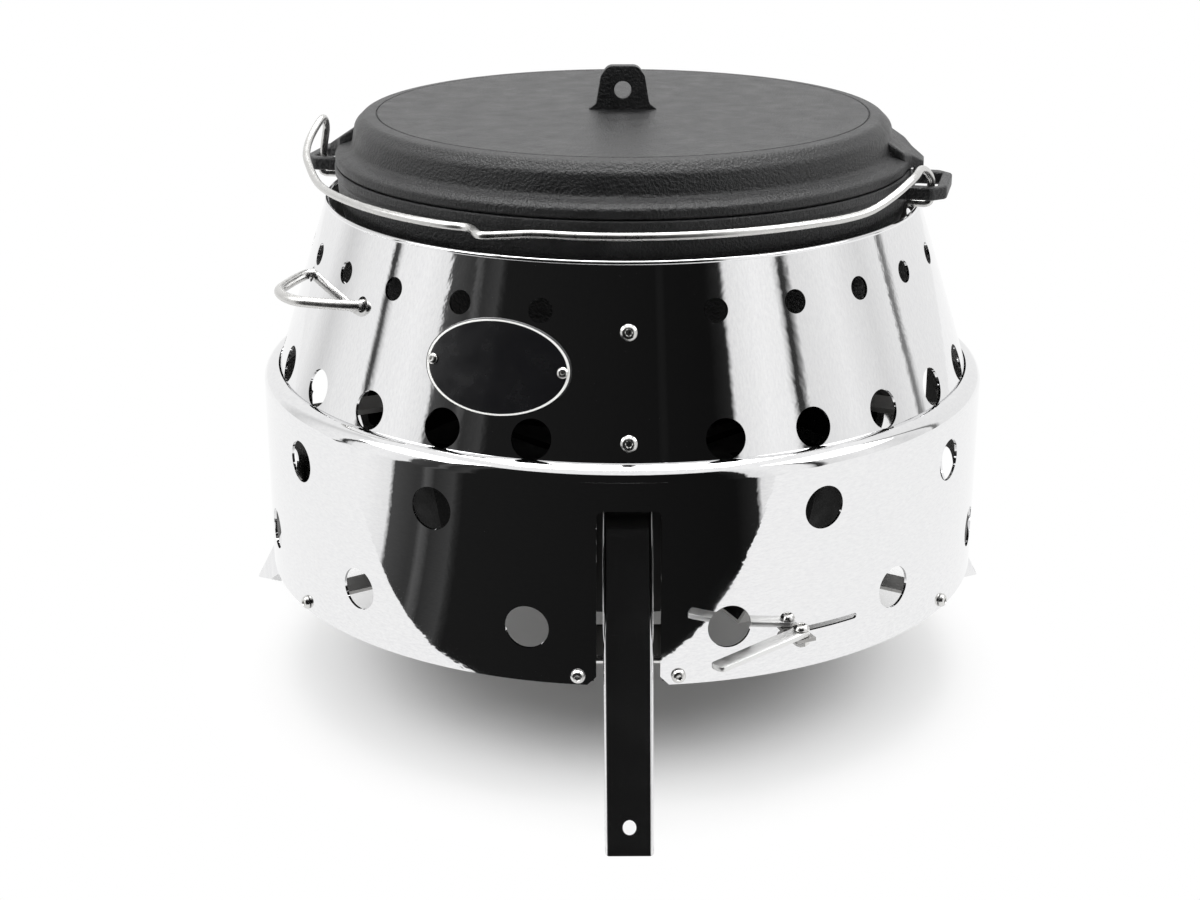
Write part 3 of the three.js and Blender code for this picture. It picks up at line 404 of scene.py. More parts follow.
def bent_wire(name, bends, diameter, material, move):
    """Round wire along a smooth path through its bends, with rounded cut ends."""
    path = smooth_path(bends)
    radius, end_round, sides = diameter / 2, 0.5, 20
    tangents = []
    for i in range(len(path)):
        tangents.append((path[min(i + 1, len(path) - 1)] - path[max(i - 1, 0)]).normalized())
    side = tangents[0].orthogonal().normalized()
    rings = []
    for point, tangent in zip(path, tangents):
        side = (side - tangent * side.dot(tangent)).normalized()
        rings.append((point, side, tangent.cross(side), radius))
    ends = [(end_round * share, radius - end_round * share ** 2) for share in (1.0, 0.65, 0.3)]
    start, *start_sides, _ = rings[0]
    stop, *stop_sides, _ = rings[-1]
    head = [(start - tangents[0] * reach, *start_sides, narrow) for reach, narrow in ends]
    tail = [(stop + tangents[-1] * reach, *stop_sides, narrow) for reach, narrow in reversed(ends)]
    rings = head + rings + tail
    points, faces = [], []
    for centre, across, up, reach in rings:
        points += [move(centre + across * (reach * x) + up * (reach * y)) for x, y in circle(sides)]
    for i in range(len(rings) - 1):
        for k in range(sides):
            n = (k + 1) % sides
            faces.append((i * sides + k, i * sides + n, (i + 1) * sides + n, (i + 1) * sides + k))
    faces.append(tuple(reversed(range(sides))))
    faces.append(tuple(range((len(rings) - 1) * sides, len(rings) * sides)))
    return soften(new_piece(name, points, faces, [material]), 50)


def slab(name, outline, holes, low, high, material, move, edge, segments=2):
    """A flat piece of an outline with holes, its edges broken by a small bevel."""
    flat, edges = flat_loops([outline, *holes])
    flat, _, triangles, *_ = delaunay_2d_cdt(flat, edges, [], 0, 1e-5)
    work = bmesh.new()
    bottom = [work.verts.new((x, y, low)) for x, y in flat]
    for triangle in triangles:
        middle = sum((flat[i] for i in triangle), Vector((0, 0))) / 3
        if inside(middle, outline) and not any(inside(middle, hole) for hole in holes):
            work.faces.new([bottom[i] for i in triangle])
    loose = [vert for vert in work.verts if not vert.link_faces]
    bmesh.ops.delete(work, geom=loose, context="VERTS")
    bmesh.ops.recalc_face_normals(work, faces=work.faces)
    bmesh.ops.dissolve_limit(work, angle_limit=0.01, verts=work.verts, edges=work.edges)
    grown = bmesh.ops.extrude_face_region(work, geom=list(work.faces))
    lifted = [item for item in grown["geom"] if isinstance(item, bmesh.types.BMVert)]
    bmesh.ops.translate(work, verts=lifted, vec=(0, 0, high - low))
    bmesh.ops.recalc_face_normals(work, faces=work.faces)
    sharp = [e for e in work.edges if len(e.link_faces) == 2 and e.calc_face_angle(0) > 1.2]
    bmesh.ops.bevel(work, geom=sharp, offset=edge, segments=segments, profile=0.6,
                    affect="EDGES", clamp_overlap=True)
    for vert in work.verts:
        vert.co = place(move(vert.co))
    bmesh.ops.recalc_face_normals(work, faces=work.faces)
    mesh = bpy.data.meshes.new(name)
    work.to_mesh(mesh)
    work.free()
    mesh.materials.append(material)
    return soften(linked(name, mesh), 40)


def fuse(base, *others, operation="UNION"):
    """Joins solids into one, or cuts them away, and removes the others."""
    for other in others:
        step = base.modifiers.new("fuse", "BOOLEAN")
        step.operation = operation
        step.solver = "EXACT"
        step.object = other
    mesh = bpy.data.meshes.new_from_object(base.evaluated_get(bpy.context.evaluated_depsgraph_get()))
    mesh.name = base.name
    base.modifiers.clear()
    base.data = mesh
    for other in others:
        bpy.data.objects.remove(other)
    return soften(base, 38)


# Materials


def socket_group(name, inputs, outputs):
    """A shader node group with named sockets: each is (name, kind, value)."""
    group = bpy.data.node_groups.new(name, "ShaderNodeTree")
    for title, kind, value in inputs:
        made = group.interface.new_socket(title, in_out="INPUT", socket_type=kind)
        made.default_value = value
    for title, kind in outputs:
        group.interface.new_socket(title, in_out="OUTPUT", socket_type=kind)
    entry = group.nodes.new("NodeGroupInput")
    leave = group.nodes.new("NodeGroupOutput")
    return group, entry, leave


def node(tree, kind, inputs=None, **settings):
    made = tree.nodes.new(kind)
    for title, value in settings.items():
        setattr(made, title, value)
    for title, value in (inputs or {}).items():
        if isinstance(value, bpy.types.NodeSocket):
            tree.links.new(value, made.inputs[title])
        else:
            made.inputs[title].default_value = value
    return made


FLOAT = "NodeSocketFloat"
VECTOR = "NodeSocketVector"


def grain_group():
    """Cast or rolled grain: a height from two sizes of noise, and a mask from the coarse one."""
    group, entry, leave = socket_group(
        "metal grain",
        [("Scale", FLOAT, 900.0), ("Coarse Scale", FLOAT, 60.0), ("Coarse Share", FLOAT, 0.4)],
        [("Height", FLOAT), ("Mask", FLOAT)])
    spot = node(group, "ShaderNodeTexCoord").outputs["Object"]
    fine = node(group, "ShaderNodeTexNoise", {"Vector": spot, "Scale": entry.outputs["Scale"],
                                              "Detail": 3.0, "Roughness": 0.6})
    coarse = node(group, "ShaderNodeTexNoise", {"Vector": spot, "Scale": entry.outputs["Coarse Scale"],
                                                "Detail": 4.0, "Roughness": 0.55})
    mixed = node(group, "ShaderNodeMix", {0: entry.outputs["Coarse Share"], 2: fine.outputs[0],
                                          3: coarse.outputs[0]}, data_type="FLOAT")
    group.links.new(mixed.outputs[0], leave.inputs["Height"])
    group.links.new(coarse.outputs[0], leave.inputs["Mask"])
    return group


def brushing_group():
    """Polishing lines: noise drawn out along one direction."""
    group, entry, leave = socket_group(
        "polishing lines",
        [("Stretch", VECTOR, (1.0, 1.0, 1.0)), ("Scale", FLOAT, 400.0)],
        [("Lines", FLOAT), ("Haze", FLOAT)])
    spot = node(group, "ShaderNodeTexCoord").outputs["Object"]
    drawn = node(group, "ShaderNodeVectorMath", {0: spot, 1: entry.outputs["Stretch"]}, operation="MULTIPLY")
    lines = node(group, "ShaderNodeTexNoise", {"Vector": drawn.outputs[0], "Scale": entry.outputs["Scale"],
                                               "Detail": 4.0, "Roughness": 0.7})
    haze = node(group, "ShaderNodeTexNoise", {"Vector": spot, "Scale": 14.0, "Detail": 5.0,
                                              "Roughness": 0.65, "Distortion": 0.4})
    group.links.new(lines.outputs[0], leave.inputs["Lines"])
    group.links.new(haze.outputs[0], leave.inputs["Haze"])
    return group


def wear_group():
    """Edges rubbed brighter, broken up by a little noise."""
    group, entry, leave = socket_group(
        "rubbed edges",
        [("Amount", FLOAT, 0.5), ("Start", FLOAT, 0.52), ("End", FLOAT, 0.6)],
        [("Mask", FLOAT)])
    sharp = node(group, "ShaderNodeNewGeometry").outputs["Pointiness"]
    spot = node(group, "ShaderNodeTexCoord").outputs["Object"]
    edge = node(group, "ShaderNodeMapRange", {"Value": sharp, "From Min": entry.outputs["Start"],
                                              "From Max": entry.outputs["End"]})
    broken = node(group, "ShaderNodeTexNoise", {"Vector": spot, "Scale": 120.0, "Detail": 4.0})
    rubbed = node(group, "ShaderNodeMath", {0: edge.outputs[0], 1: broken.outputs[0]}, operation="MULTIPLY")
    scaled = node(group, "ShaderNodeMath", {0: rubbed.outputs[0], 1: entry.outputs["Amount"]},
                  operation="MULTIPLY")
    group.links.new(scaled.outputs[0], leave.inputs["Mask"])
    return group


GRAIN = grain_group()
BRUSHING = brushing_group()
WEAR = wear_group()


def new_material(name, color, roughness, metallic, **sockets):
    material = bpy.data.materials.new(name)
    material.use_nodes = True
    tree = material.node_tree
    shader = tree.nodes["Principled BSDF"]
    shader.inputs["Base Color"].default_value = (*color, 1)
    shader.inputs["Roughness"].default_value = roughness
    shader.inputs["Metallic"].default_value = metallic
    for title, value in sockets.items():
        shader.inputs[title.replace("_", " ")].default_value = value
    return material, tree, shader


def group_node(tree, group, **values):
    made = tree.nodes.new("ShaderNodeGroup")
    made.node_tree = group
    for title, value in values.items():
        made.inputs[title.replace("_", " ")].default_value = value
    return made


def ramp(tree, noise, low, high):
    """Spreads a noise, which hardly leaves the middle of its range, from low to high."""
    made = node(tree, "ShaderNodeMapRange", {"Value": noise, "From Min": 0.3, "From Max": 0.7,
                                             "To Min": low, "To Max": high})
    return made.outputs[0]


def blend(tree, share, low, high):
    """A colour between two others. Each of them is (r, g, b) or a socket."""
    low, high = (tone if isinstance(tone, bpy.types.NodeSocket) else (*tone, 1) for tone in (low, high))
    made = node(tree, "ShaderNodeMix", {0: share, 6: low, 7: high}, data_type="RGBA")
    return made.outputs[2]


def bump(tree, shader, height, strength, distance):
    made = node(tree, "ShaderNodeBump", {"Height": height, "Strength": strength, "Distance": distance})
    tree.links.new(made.outputs[0], shader.inputs["Normal"])


def polished_sheet(name, stretch, roughness=(0.012, 0.045), wave=0.03):
    """Mirror-polished stainless sheet with faint polishing lines and a slightly uneven surface."""
    material, tree, shader = new_material(name, (0.86, 0.86, 0.865), roughness[0], 1.0)
    lines = group_node(tree, BRUSHING, Stretch=stretch, Scale=900.0)
    rough = ramp(tree, lines.outputs["Haze"], *roughness)
    tree.links.new(rough, shader.inputs["Roughness"])
    tint = blend(tree, ramp(tree, lines.outputs["Lines"], 0.0, 1.0), (0.80, 0.80, 0.81), (0.89, 0.89, 0.89))
    tree.links.new(tint, shader.inputs["Base Color"])
    bump(tree, shader, lines.outputs["Haze"], wave, 0.004)
    return material


def satin_wire(name, color=(0.64, 0.635, 0.62), roughness=0.27):
    material, tree, shader = new_material(name, color, roughness, 1.0)
    grain = group_node(tree, GRAIN, Scale=2600.0, Coarse_Scale=180.0, Coarse_Share=0.3)
    tree.links.new(ramp(tree, grain.outputs["Mask"], roughness - 0.04, roughness + 0.07),
                   shader.inputs["Roughness"])
    bump(tree, shader, grain.outputs["Height"], 0.012, 0.0003)
    return material


def cast_iron():
    material, tree, shader = new_material("seasoned cast iron", (0.02, 0.0205, 0.022), 0.5, 0.0,
                                          Specular_IOR_Level=0.45)
    grain = group_node(tree, GRAIN, Scale=620.0, Coarse_Scale=75.0, Coarse_Share=0.12)
    wear = group_node(tree, WEAR, Amount=0.5, Start=0.51, End=0.58)
    base = blend(tree, ramp(tree, grain.outputs["Mask"], 0.0, 1.0), (0.003, 0.0031, 0.0034),
                 (0.008, 0.0083, 0.009))
    worn = blend(tree, wear.outputs["Mask"], base, (0.045, 0.046, 0.049))
    tree.links.new(worn, shader.inputs["Base Color"])
    tree.links.new(ramp(tree, grain.outputs["Mask"], 0.33, 0.46), shader.inputs["Roughness"])
    bump(tree, shader, grain.outputs["Height"], 1.0, 0.0011)
    return material


# Black steel for the fire bowl and the grate, made darker still as painted shade for the inside of the stove
def shaded_black_steel():
    material, tree, shader = new_material("black steel in painted shade", (0.008, 0.0078, 0.0078), 0.65, 0.0,
                                          Specular_IOR_Level=0.12)
    grain = group_node(tree, GRAIN, Scale=500.0, Coarse_Scale=30.0, Coarse_Share=0.6)
    tone = blend(tree, ramp(tree, grain.outputs["Mask"], 0.0, 1.0), (0.003, 0.003, 0.0031),
                 (0.007, 0.0066, 0.0062))
    tree.links.new(tone, shader.inputs["Base Color"])
    tree.links.new(ramp(tree, grain.outputs["Mask"], 0.45, 0.75), shader.inputs["Roughness"])
    bump(tree, shader, grain.outputs["Height"], 0.3, 0.0006)
    return material


def plate_enamel():
    material, tree, shader = new_material("black plate enamel", (0.006, 0.006, 0.007), 0.22, 0.0,
                                          Coat_Weight=0.4, Coat_Roughness=0.08)
    grain = group_node(tree, GRAIN, Scale=800.0, Coarse_Scale=90.0, Coarse_Share=0.5)
    tree.links.new(ramp(tree, grain.outputs["Mask"], 0.18, 0.3), shader.inputs["Roughness"])
    bump(tree, shader, grain.outputs["Height"], 0.05, 0.0003)
    return material


MIRROR_CONE = polished_sheet("polished cone sheet", (1.0, 1.0, 0.04), roughness=(0.02, 0.07), wave=0.05)
MIRROR_RING = polished_sheet("polished ring sheet", (0.3, 0.3, 1.0))
MIRROR_LEG = polished_sheet("polished leg sheet", (1.0, 1.0, 0.05), roughness=(0.06, 0.16))
MIRROR_HEM = polished_sheet("rolled hem", (1.0, 1.0, 1.0), roughness=(0.05, 0.1))
WIRE = satin_wire("satin stainless wire")
FASTENER = satin_wire("stainless fasteners", (0.72, 0.715, 0.70), 0.2)
SATIN = satin_wire("satin stainless sheet", (0.4, 0.395, 0.385), 0.36)
LEVER_STEEL = satin_wire("polished lever steel", (0.8, 0.8, 0.79), 0.36)
IRON = cast_iron()
# Painted shade: the fire bowl and the grate darker than their black steel
SHADED_BLACK = shaded_black_steel()
# Inner face of the ring and cone sheets, and the leg brackets inside the ring: steel near black as painted
# shade for the inside of the stove
SHADED_SHEET_BACK = satin_wire("sheet back in painted shade", (0.05, 0.049, 0.047), 0.45)
ENAMEL = plate_enamel()
BORDER, _, _ = new_material("plate border", (0.82, 0.82, 0.80), 0.35, 0.0)


# Stove ring


# The shoulder rolls in from its spring line to the lip, which meets the cone
LIP = cone_radius(RING_HEIGHT - SHEET) + GAP
ROLL = RING_RADIUS - LIP
SPRING = RING_HEIGHT - ROLL
RING_ARC = math.radians(1) * RING_RADIUS


def ring_surface(u, v):
    """The ring's outer face: u runs round it and v up the wall and over the shoulder."""
    if v <= SPRING:
        return polar(RING_RADIUS, u / RING_ARC, v)
    turn = (v - SPRING) / ROLL
    return polar(LIP + ROLL * math.cos(turn), u / RING_ARC, SPRING + ROLL * math.sin(turn))


def slot_outline(azimuth):
    """The open slot for a leg, walked from its left foot to its right one."""
    half, reach = SLOT_HALF, SLOT_CHAMFER
    path = [(-half - reach, 0), (-half, reach)]
    path += [(-half, v) for v in spaced(reach, SLOT_TOP - SLOT_CORNER, 10)[1:]]
    for angle in range(15, 91, 15):
        turn = math.radians(angle)
        path.append((SLOT_CORNER - half - SLOT_CORNER * math.cos(turn),
                     SLOT_TOP - SLOT_CORNER + SLOT_CORNER * math.sin(turn)))
    path += [(u, SLOT_TOP) for u in spaced(SLOT_CORNER - half, 0, 5)[1:]]
    right = [(-u, v) for u, v in reversed(path[:-1])]
    return [(u + azimuth * RING_ARC, v) for u, v in path + right]


def air_slot():
    """The long slot for the air shutter's tab, with round ends."""
    low, high = AIR_SLOT_ROWS
    reach, middle = AIR_SLOT_CORNER, (low + high) / 2
    left, right = (azimuth * RING_ARC for azimuth in AIR_SLOT_AZIMUTHS)
    ends = [(math.cos(math.radians(t)), math.sin(math.radians(t))) for t in range(-75, 76, 15)]
    along = spaced(left + reach, right - reach, 6)
    slot = [(right - reach + reach * x, middle + reach * y) for x, y in ends]
    slot += [(u, high) for u in reversed(along)]
    slot += [(left + reach - reach * x, middle - reach * y) for x, y in ends]
    return slot + [(u, low) for u in along]


def make_ring():
    back = 180 * RING_ARC
    top = SPRING + ROLL * math.pi / 2
    outline = [(-back, 0)]
    for azimuth in sorted(LEG_AZIMUTHS.values()):
        slot = slot_outline(azimuth)
        outline += [(u, 0) for u in spaced(outline[-1][0], slot[0][0], 8)[1:-1]] + slot
    outline += [(u, 0) for u in spaced(outline[-1][0], back, 8)[1:]]
    rows = spaced(0, SPRING, 8)[1:] + [SPRING + ROLL * math.radians(9 * k) for k in range(1, 10)]
    columns = spaced(-back, back, 7.5)
    outline += [(back, v) for v in rows]
    outline += [(u, top) for u in reversed(columns)]
    outline += [(-back, v) for v in reversed(rows)]
    holes = []
    for k in range(-LAST_HOLE, LAST_HOLE + 1):
        if k == 0 or abs(k) == LEG_PLACE:
            continue
        row = RING_ROWS[1] if k % 2 == 0 else RING_ROWS[0]
        holes.append(circle_at(k * PITCH * RING_ARC, row, RING_HOLE / 2, 48))
    holes.append(air_slot())
    grid = [(u, v) for u in columns[1:-1] for v in rows]
    ring = punched_sheet("ring_sheet", outline, holes, grid, ring_surface, SHEET,
                         [MIRROR_RING, SHADED_SHEET_BACK])
    put(ring, "stove", "polished_sheet", "stove_ring")


make_ring()


# Cone


# The flat drawing of the cone counts azimuth along an arc of this radius
CONE_DRAWN_RADIUS = 200.0
CONE_ARC = math.radians(1) * CONE_DRAWN_RADIUS


def lap_inset(azimuth):
    """How far the sheet's first end lies in, under its last one."""
    share = min(1.0, max(0.0, (azimuth - LAP_HALF_ANGLE) / LAP_JOGGLE_ANGLE))
    return LAP_STEP * (1 - share * share * (3 - 2 * share))


def cone_surface(u, v):
    """The cone's outer face: u runs round it, on past the first end to make the lap."""
    azimuth = u / CONE_ARC
    return polar(cone_radius(v) - lap_inset(azimuth), azimuth, v)


def cone_hole(diameter, azimuth, row):
    """A hole that is round on the cone, in its flat drawing."""
    slant = math.sqrt(1 + CONE_SLOPE ** 2)
    loop = []
    for x, y in circle(44):
        v = row + diameter / 2 * y / slant
        turn = azimuth + math.degrees(diameter / 2 * x / cone_radius(v))
        loop.append((turn * CONE_ARC, v))
    return loop


def make_cone():
    first, last = -LAP_HALF_ANGLE * CONE_ARC, (360 + LAP_HALF_ANGLE) * CONE_ARC
    top = CONE_TOP - HEM_RADIUS
    joggle = [(LAP_HALF_ANGLE + LAP_JOGGLE_ANGLE * k / 8) * CONE_ARC for k in range(9)]
    columns = sorted(spaced(first, last, 7.0) + joggle)
    rows = spaced(CONE_LOW, top, 9)
    outline = [(u, CONE_LOW) for u in columns]
    outline += [(last, v) for v in rows[1:]]
    outline += [(u, top) for u in reversed(columns[:-1])]
    outline += [(first, v) for v in reversed(rows[1:-1])]
    holes = []
    for k in range(1, 2 * LAST_HOLE + 1):
        holes.append(cone_hole(SMALL_HOLE, k * PITCH, SMALL_ROW))
        holes.append(cone_hole(LARGE_HOLE, k * PITCH, LARGE_ROW))
    for pitches in HANDLE_PLACES:
        holes.append(cone_hole(HANDLE_HOLE, 360 + pitches * PITCH, HANDLE_HEIGHT))
    grid = [(u, v) for u in columns[1:-1] for v in rows[1:-1]]
    cone = punched_sheet("cone_sheet", outline, holes, grid, cone_surface, SHEET,
                         [MIRROR_CONE, SHADED_SHEET_BACK])
    put(cone, "stove", "polished_sheet", "stove_cone")
    bead = circle_at(CONE_TOP_RADIUS - HEM_INSET, CONE_TOP - HEM_RADIUS, HEM_RADIUS, 20)
    hem = revolved("cone_hem", bead + bead[:1], 180, MIRROR_HEM)
    put(hem, "stove", "polished_sheet")


make_cone()


# Fasteners on the stove


def at_wall(azimuth, radius, height, lean=0.0):
    """Moves a piece drawn about +Z so that +Z points out of the wall."""
    turn = Matrix.Rotation(math.radians(azimuth), 4, "Z")
    tip = Matrix.Rotation(math.pi / 2 - lean, 4, "X")
    shift = Matrix.Translation((0, -radius, height))
    whole = turn @ shift @ tip
    return lambda point: whole @ Vector(point)


def socket_shape(mouth):
    """Draws everything inside the socket's mouth as a hexagon, and leaves the rest round."""
    def shape(radius, turn):
        if radius > mouth:
            return 1.0
        part = (turn % math.radians(60)) - math.radians(30)
        return math.cos(math.radians(30)) / math.cos(part) * 1.04
    return shape


def button_screw(name, sizes, move):
    """A button-head screw with a hexagon socket, its head above z = 0 and its shank below."""
    head, socket, shank, length = sizes
    tall, mouth = SCREW_HEAD_HEIGHT, socket * 0.62
    profile = rounded([
        (0, -length), (shank / 2, -length), (shank / 2, 0), (head / 2, 0, 0.25),
        (head / 2, tall * 0.3, 0.5), (head * 0.4, tall * 0.8, 1.2), (head * 0.28, tall),
    ], steps=4)
    profile += [(mouth * 1.12, tall), (mouth * 0.98, tall - 0.35), (mouth * 0.96, tall * 0.35),
                (0, tall * 0.3)]
    return revolved(name, profile, 36, FASTENER, move, socket_shape(mouth))


def make_fasteners():
    for i, row in enumerate(SEAM_SCREW_ROWS, start=1):
        move = at_wall(0, cone_radius(row) + GAP, row, CONE_LEAN)
        screw = button_screw(f"seam_button_{i}", SEAM_SCREW, move)
        put(screw, "stove", "satin_steel", f"seam_screw_{i}")
    places = [pitches * PITCH for pitches in SUPPORT_PLACES]
    for azimuth in LEG_AZIMUTHS.values():
        places += [azimuth - BRACKET_SCREW_ANGLE, azimuth + BRACKET_SCREW_ANGLE]
    for i, azimuth in enumerate(places, start=1):
        move = at_wall(azimuth, RING_RADIUS + GAP, LOW_SCREW_HEIGHT)
        screw = button_screw(f"ring_button_{i}", RING_SCREW, move)
        put(screw, "stove", "satin_steel", f"ring_screw_{i}")


make_fasteners()


# Name plate, left blank, with its border line


def make_plate():
    azimuth = PLATE_PLACE * PITCH
    middle = cone_radius(PLATE_HEIGHT)
    slant = math.sqrt(1 + CONE_SLOPE ** 2)
    steps = 96

    def spot(row, turn):
        share, lift = row
        along = PLATE_HALF[0] * share * math.cos(turn)
        height = PLATE_HEIGHT + PLATE_HALF[1] * share * math.sin(turn) / slant
        out = (GAP + lift * PLATE_THICK) / math.cos(CONE_LEAN)
        return polar(cone_radius(height) + out, azimuth + math.degrees(along / middle), height)

    front = [(0.0, 1.0), (0.3, 1.0), (0.6, 1.0), (0.85, 1.0), *PLATE_BORDER, (0.992, 0.9), (1.0, 0.6)]
    rows = [(0.0, 0.0), (1.0, 0.0), *reversed(front)]
    points, faces = ring_mesh(rows, steps, spot)
    border = rows.index(PLATE_BORDER[1])
    slots = [int(i // steps == border) for i in range(len(faces))]
    plate = soften(new_piece("blank_plate", points, faces, [ENAMEL, BORDER], slots=slots))
    put(plate, "stove", "plate_enamel", "name_plate")
    for i, side in enumerate((-1, 1), start=1):
        turn = azimuth + side * math.degrees(math.asin(PLATE_RIVET_OFFSET / middle))
        out = (PLATE_THICK + 2 * GAP) / math.cos(CONE_LEAN)
        move = at_wall(turn, middle + out, PLATE_HEIGHT, CONE_LEAN)
        profile = rounded([(0, -3.6), (1.5, -3.6), (1.5, 0), (3.2, 0, 0.2), (3.1, 0.6, 0.5), (2.0, 1.45, 0.6),
                           (1.1, 1.5, 0.1), (0.9, 0.8), (0, 0.7)], steps=3)
        rivet = revolved(f"plate_pin_{i}", profile, 28, FASTENER, move)
        put(rivet, "stove", "satin_steel", f"plate_rivet_{i}")


make_plate()


# Legs of folded channel


# Half of the unfolded sheet, from the middle of the web: the web, the bend's arc, and the whole run
LEG_WEB = LEG_TOP_WIDTH / 2 - LEG_BEND
LEG_ARC = LEG_BEND * math.pi / 2
LEG_RUN = LEG_WEB + LEG_ARC + LEG_DEPTH - LEG_BEND


def leg_section(u):
    """Lateral place and depth of a point of the unfolded sheet."""
    side = math.copysign(1, u)
    u = abs(u)
    if u <= LEG_WEB:
        return side * u, 0.0
    if u <= LEG_WEB + LEG_ARC:
        turn = (u - LEG_WEB) / LEG_BEND
        return side * (LEG_WEB + LEG_BEND * math.sin(turn)), LEG_BEND - LEG_BEND * math.cos(turn)
    return side * LEG_TOP_WIDTH / 2, LEG_BEND + (u - LEG_WEB - LEG_ARC)


def foot_line(u):
    """Height of the foot's slanted cut, on which the leg stands flat."""
    return leg_section(u)[1] * math.tan(LEG_LEAN)


def pin_hole_place():
    """Place of the hinge pin's hole in the right flange of the unfolded sheet."""
    inward = FOOT_RADIUS - PIN_RADIUS
    rise = RING_LIFT + PIN_HEIGHT
    along = inward * math.sin(LEG_LEAN) + rise * math.cos(LEG_LEAN)
    deep = inward * math.cos(LEG_LEAN) - rise * math.sin(LEG_LEAN)
    return LEG_WEB + LEG_ARC + deep - LEG_BEND, along


def make_leg(side, azimuth):
    turn = Matrix.Rotation(math.radians(azimuth), 4, "Z")
    lean = Matrix.Rotation(-LEG_LEAN, 4, "X")
    whole = turn @ Matrix.Translation((0, -FOOT_RADIUS, -RING_LIFT)) @ lean

    def surface(u, v):
        x, y = leg_section(u)
        width = LEG_FOOT_WIDTH + (LEG_TOP_WIDTH - LEG_FOOT_WIDTH) * v / LEG_LENGTH
        return whole @ Vector((x * width / LEG_TOP_WIDTH, y, v))

    bends = [LEG_WEB + LEG_ARC * k / 6 for k in range(7)]
    right = spaced(0, LEG_WEB, 3)[:-1] + bends + spaced(LEG_WEB + LEG_ARC, LEG_RUN, 4)[1:]
    columns = [-u for u in reversed(right[1:])] + right
    rows = spaced(foot_line(LEG_RUN), LEG_LENGTH, 12)[1:-1]
    outline = [(u, foot_line(u)) for u in columns]
    outline += [(LEG_RUN, v) for v in rows]
    outline += [(u, LEG_LENGTH) for u in reversed(columns)]
    outline += [(-LEG_RUN, v) for v in reversed(rows)]
    across, along = pin_hole_place()
    holes = [circle_at(0, LEG_HOLE_HEIGHT, LEG_HOLE_RADIUS, 32)]
    holes += [circle_at(u, along, PIN_HOLE_RADIUS, 24) for u in (-across, across)]
    heights = spaced(0, LEG_LENGTH, 8)[1:-1]
    grid = [(u, v) for u in columns[1:-1] for v in heights if v > foot_line(u) + 2]
    leg = punched_sheet(f"channel_leg_{side}", outline, holes, grid, surface, LEG_SHEET, [MIRROR_LEG])
    just_above_floor = 0.02 * MM
    for vertex in leg.data.vertices:
        vertex.co.z = max(vertex.co.z, just_above_floor)
    put(leg, f"leg_{side}", "polished_sheet", f"leg_{side}")


for side, azimuth in LEG_AZIMUTHS.items():
    make_leg(side, azimuth)


# Side handle of bent rod


def make_handle():
    first, second = (pitches * PITCH for pitches in HANDLE_PLACES)
    middle = (first + second) / 2
    spread = math.radians(abs(first - second) / 2)
    rod, wall = HANDLE_ROD, cone_radius(HANDLE_HEIGHT)

    def along(distance):
        return (wall + distance) * math.sin(spread), (wall + distance) * math.cos(spread)

    inner_side, inner_out = along(-HANDLE_INSIDE)
    hole_side, hole_out = along(0)
    knee_side, knee_out = along(rod * 0.8)
    end_side, end_out = HANDLE_END_HALF, wall + HANDLE_REACH
    half = [
        (end_side, end_out, 0),
        (end_side + (knee_side - end_side) * 0.5, end_out + (knee_out - end_out) * 0.42, 0),
        (knee_side * 0.98, knee_out, 0),
        (hole_side, hole_out, 0),
        (inner_side, inner_out, 0),
        (inner_side, inner_out - rod * 0.35, -rod * 0.7),
        (inner_side, inner_out - rod * 0.35, -HANDLE_HOOK_DROP),
    ]
    path = list(reversed(half)) + [(-side, out, up) for side, out, up in half]
    bends = [Vector((side, -out, HANDLE_HEIGHT + up)) for side, out, up in path]
    turn = Matrix.Rotation(math.radians(middle), 4, "Z")
    rod_piece = bent_wire("handle_rod", bends, rod, WIRE, lambda point: turn @ point)
    put(rod_piece, "handle", "satin_steel", "side_handle")


make_handle()


# Pot and lid of cast iron


def ear_shape(move, name):
    """An ear, drawn flat (lateral, outward), with its long slot for the bail."""
    outline = rounded(mirrored([(27.5, 170), (27.5, 192, 5), (19.5, 200, 5)]), closed=True, steps=6)
    slot = rounded(mirrored([(20, 178.5, 3), (20, 194, 2.2)]), closed=True, steps=6)
    return slab(name, outline, [slot], EAR_LOW, EAR_TOP, IRON, move, edge=1.6, segments=3)


def side_move(azimuth):
    """Turns a flat drawing (lateral, outward) so that outward points along an azimuth."""
    turn = Matrix.Rotation(math.radians(azimuth), 4, "Z")
    return lambda point: turn @ Vector((point[0], -point[1], point[2]))


def make_pot():
    outer = [(0, 115.5), (131, 115.5, 8), (149.5, 129, 14), (174.0, 231, 10), (174.6, 243.2, 2),
             (176, 245.8, 1.2), (176, RIM_TOP, 1.4)]
    inner = [(0, 121.5), (128, 121.5, 8), (144, 130.5, 14), (168.5, 233.5, 10), (167, 245.2, 2)]
    profile = outer + [(167, RIM_TOP, 1.2)] + inner[::-1]
    pot = revolved("pot_casting", rounded(profile, steps=6), 200, IRON)
    ears = [ear_shape(side_move(EAR_AZIMUTH + turn), f"ear_{turn}") for turn in (0, 180)]
    fuse(pot, *ears)
    # The inside is cut out once more, so that nothing of the ears stands in it
    above = RIM_TOP + 3.5
    hollow = rounded(inner + [(167, above), (0, above)], steps=6)
    fuse(pot, revolved("pot_hollow", hollow, 200, IRON), operation="DIFFERENCE")
    put(pot, "pot", "cast_iron", "pot")


make_pot()


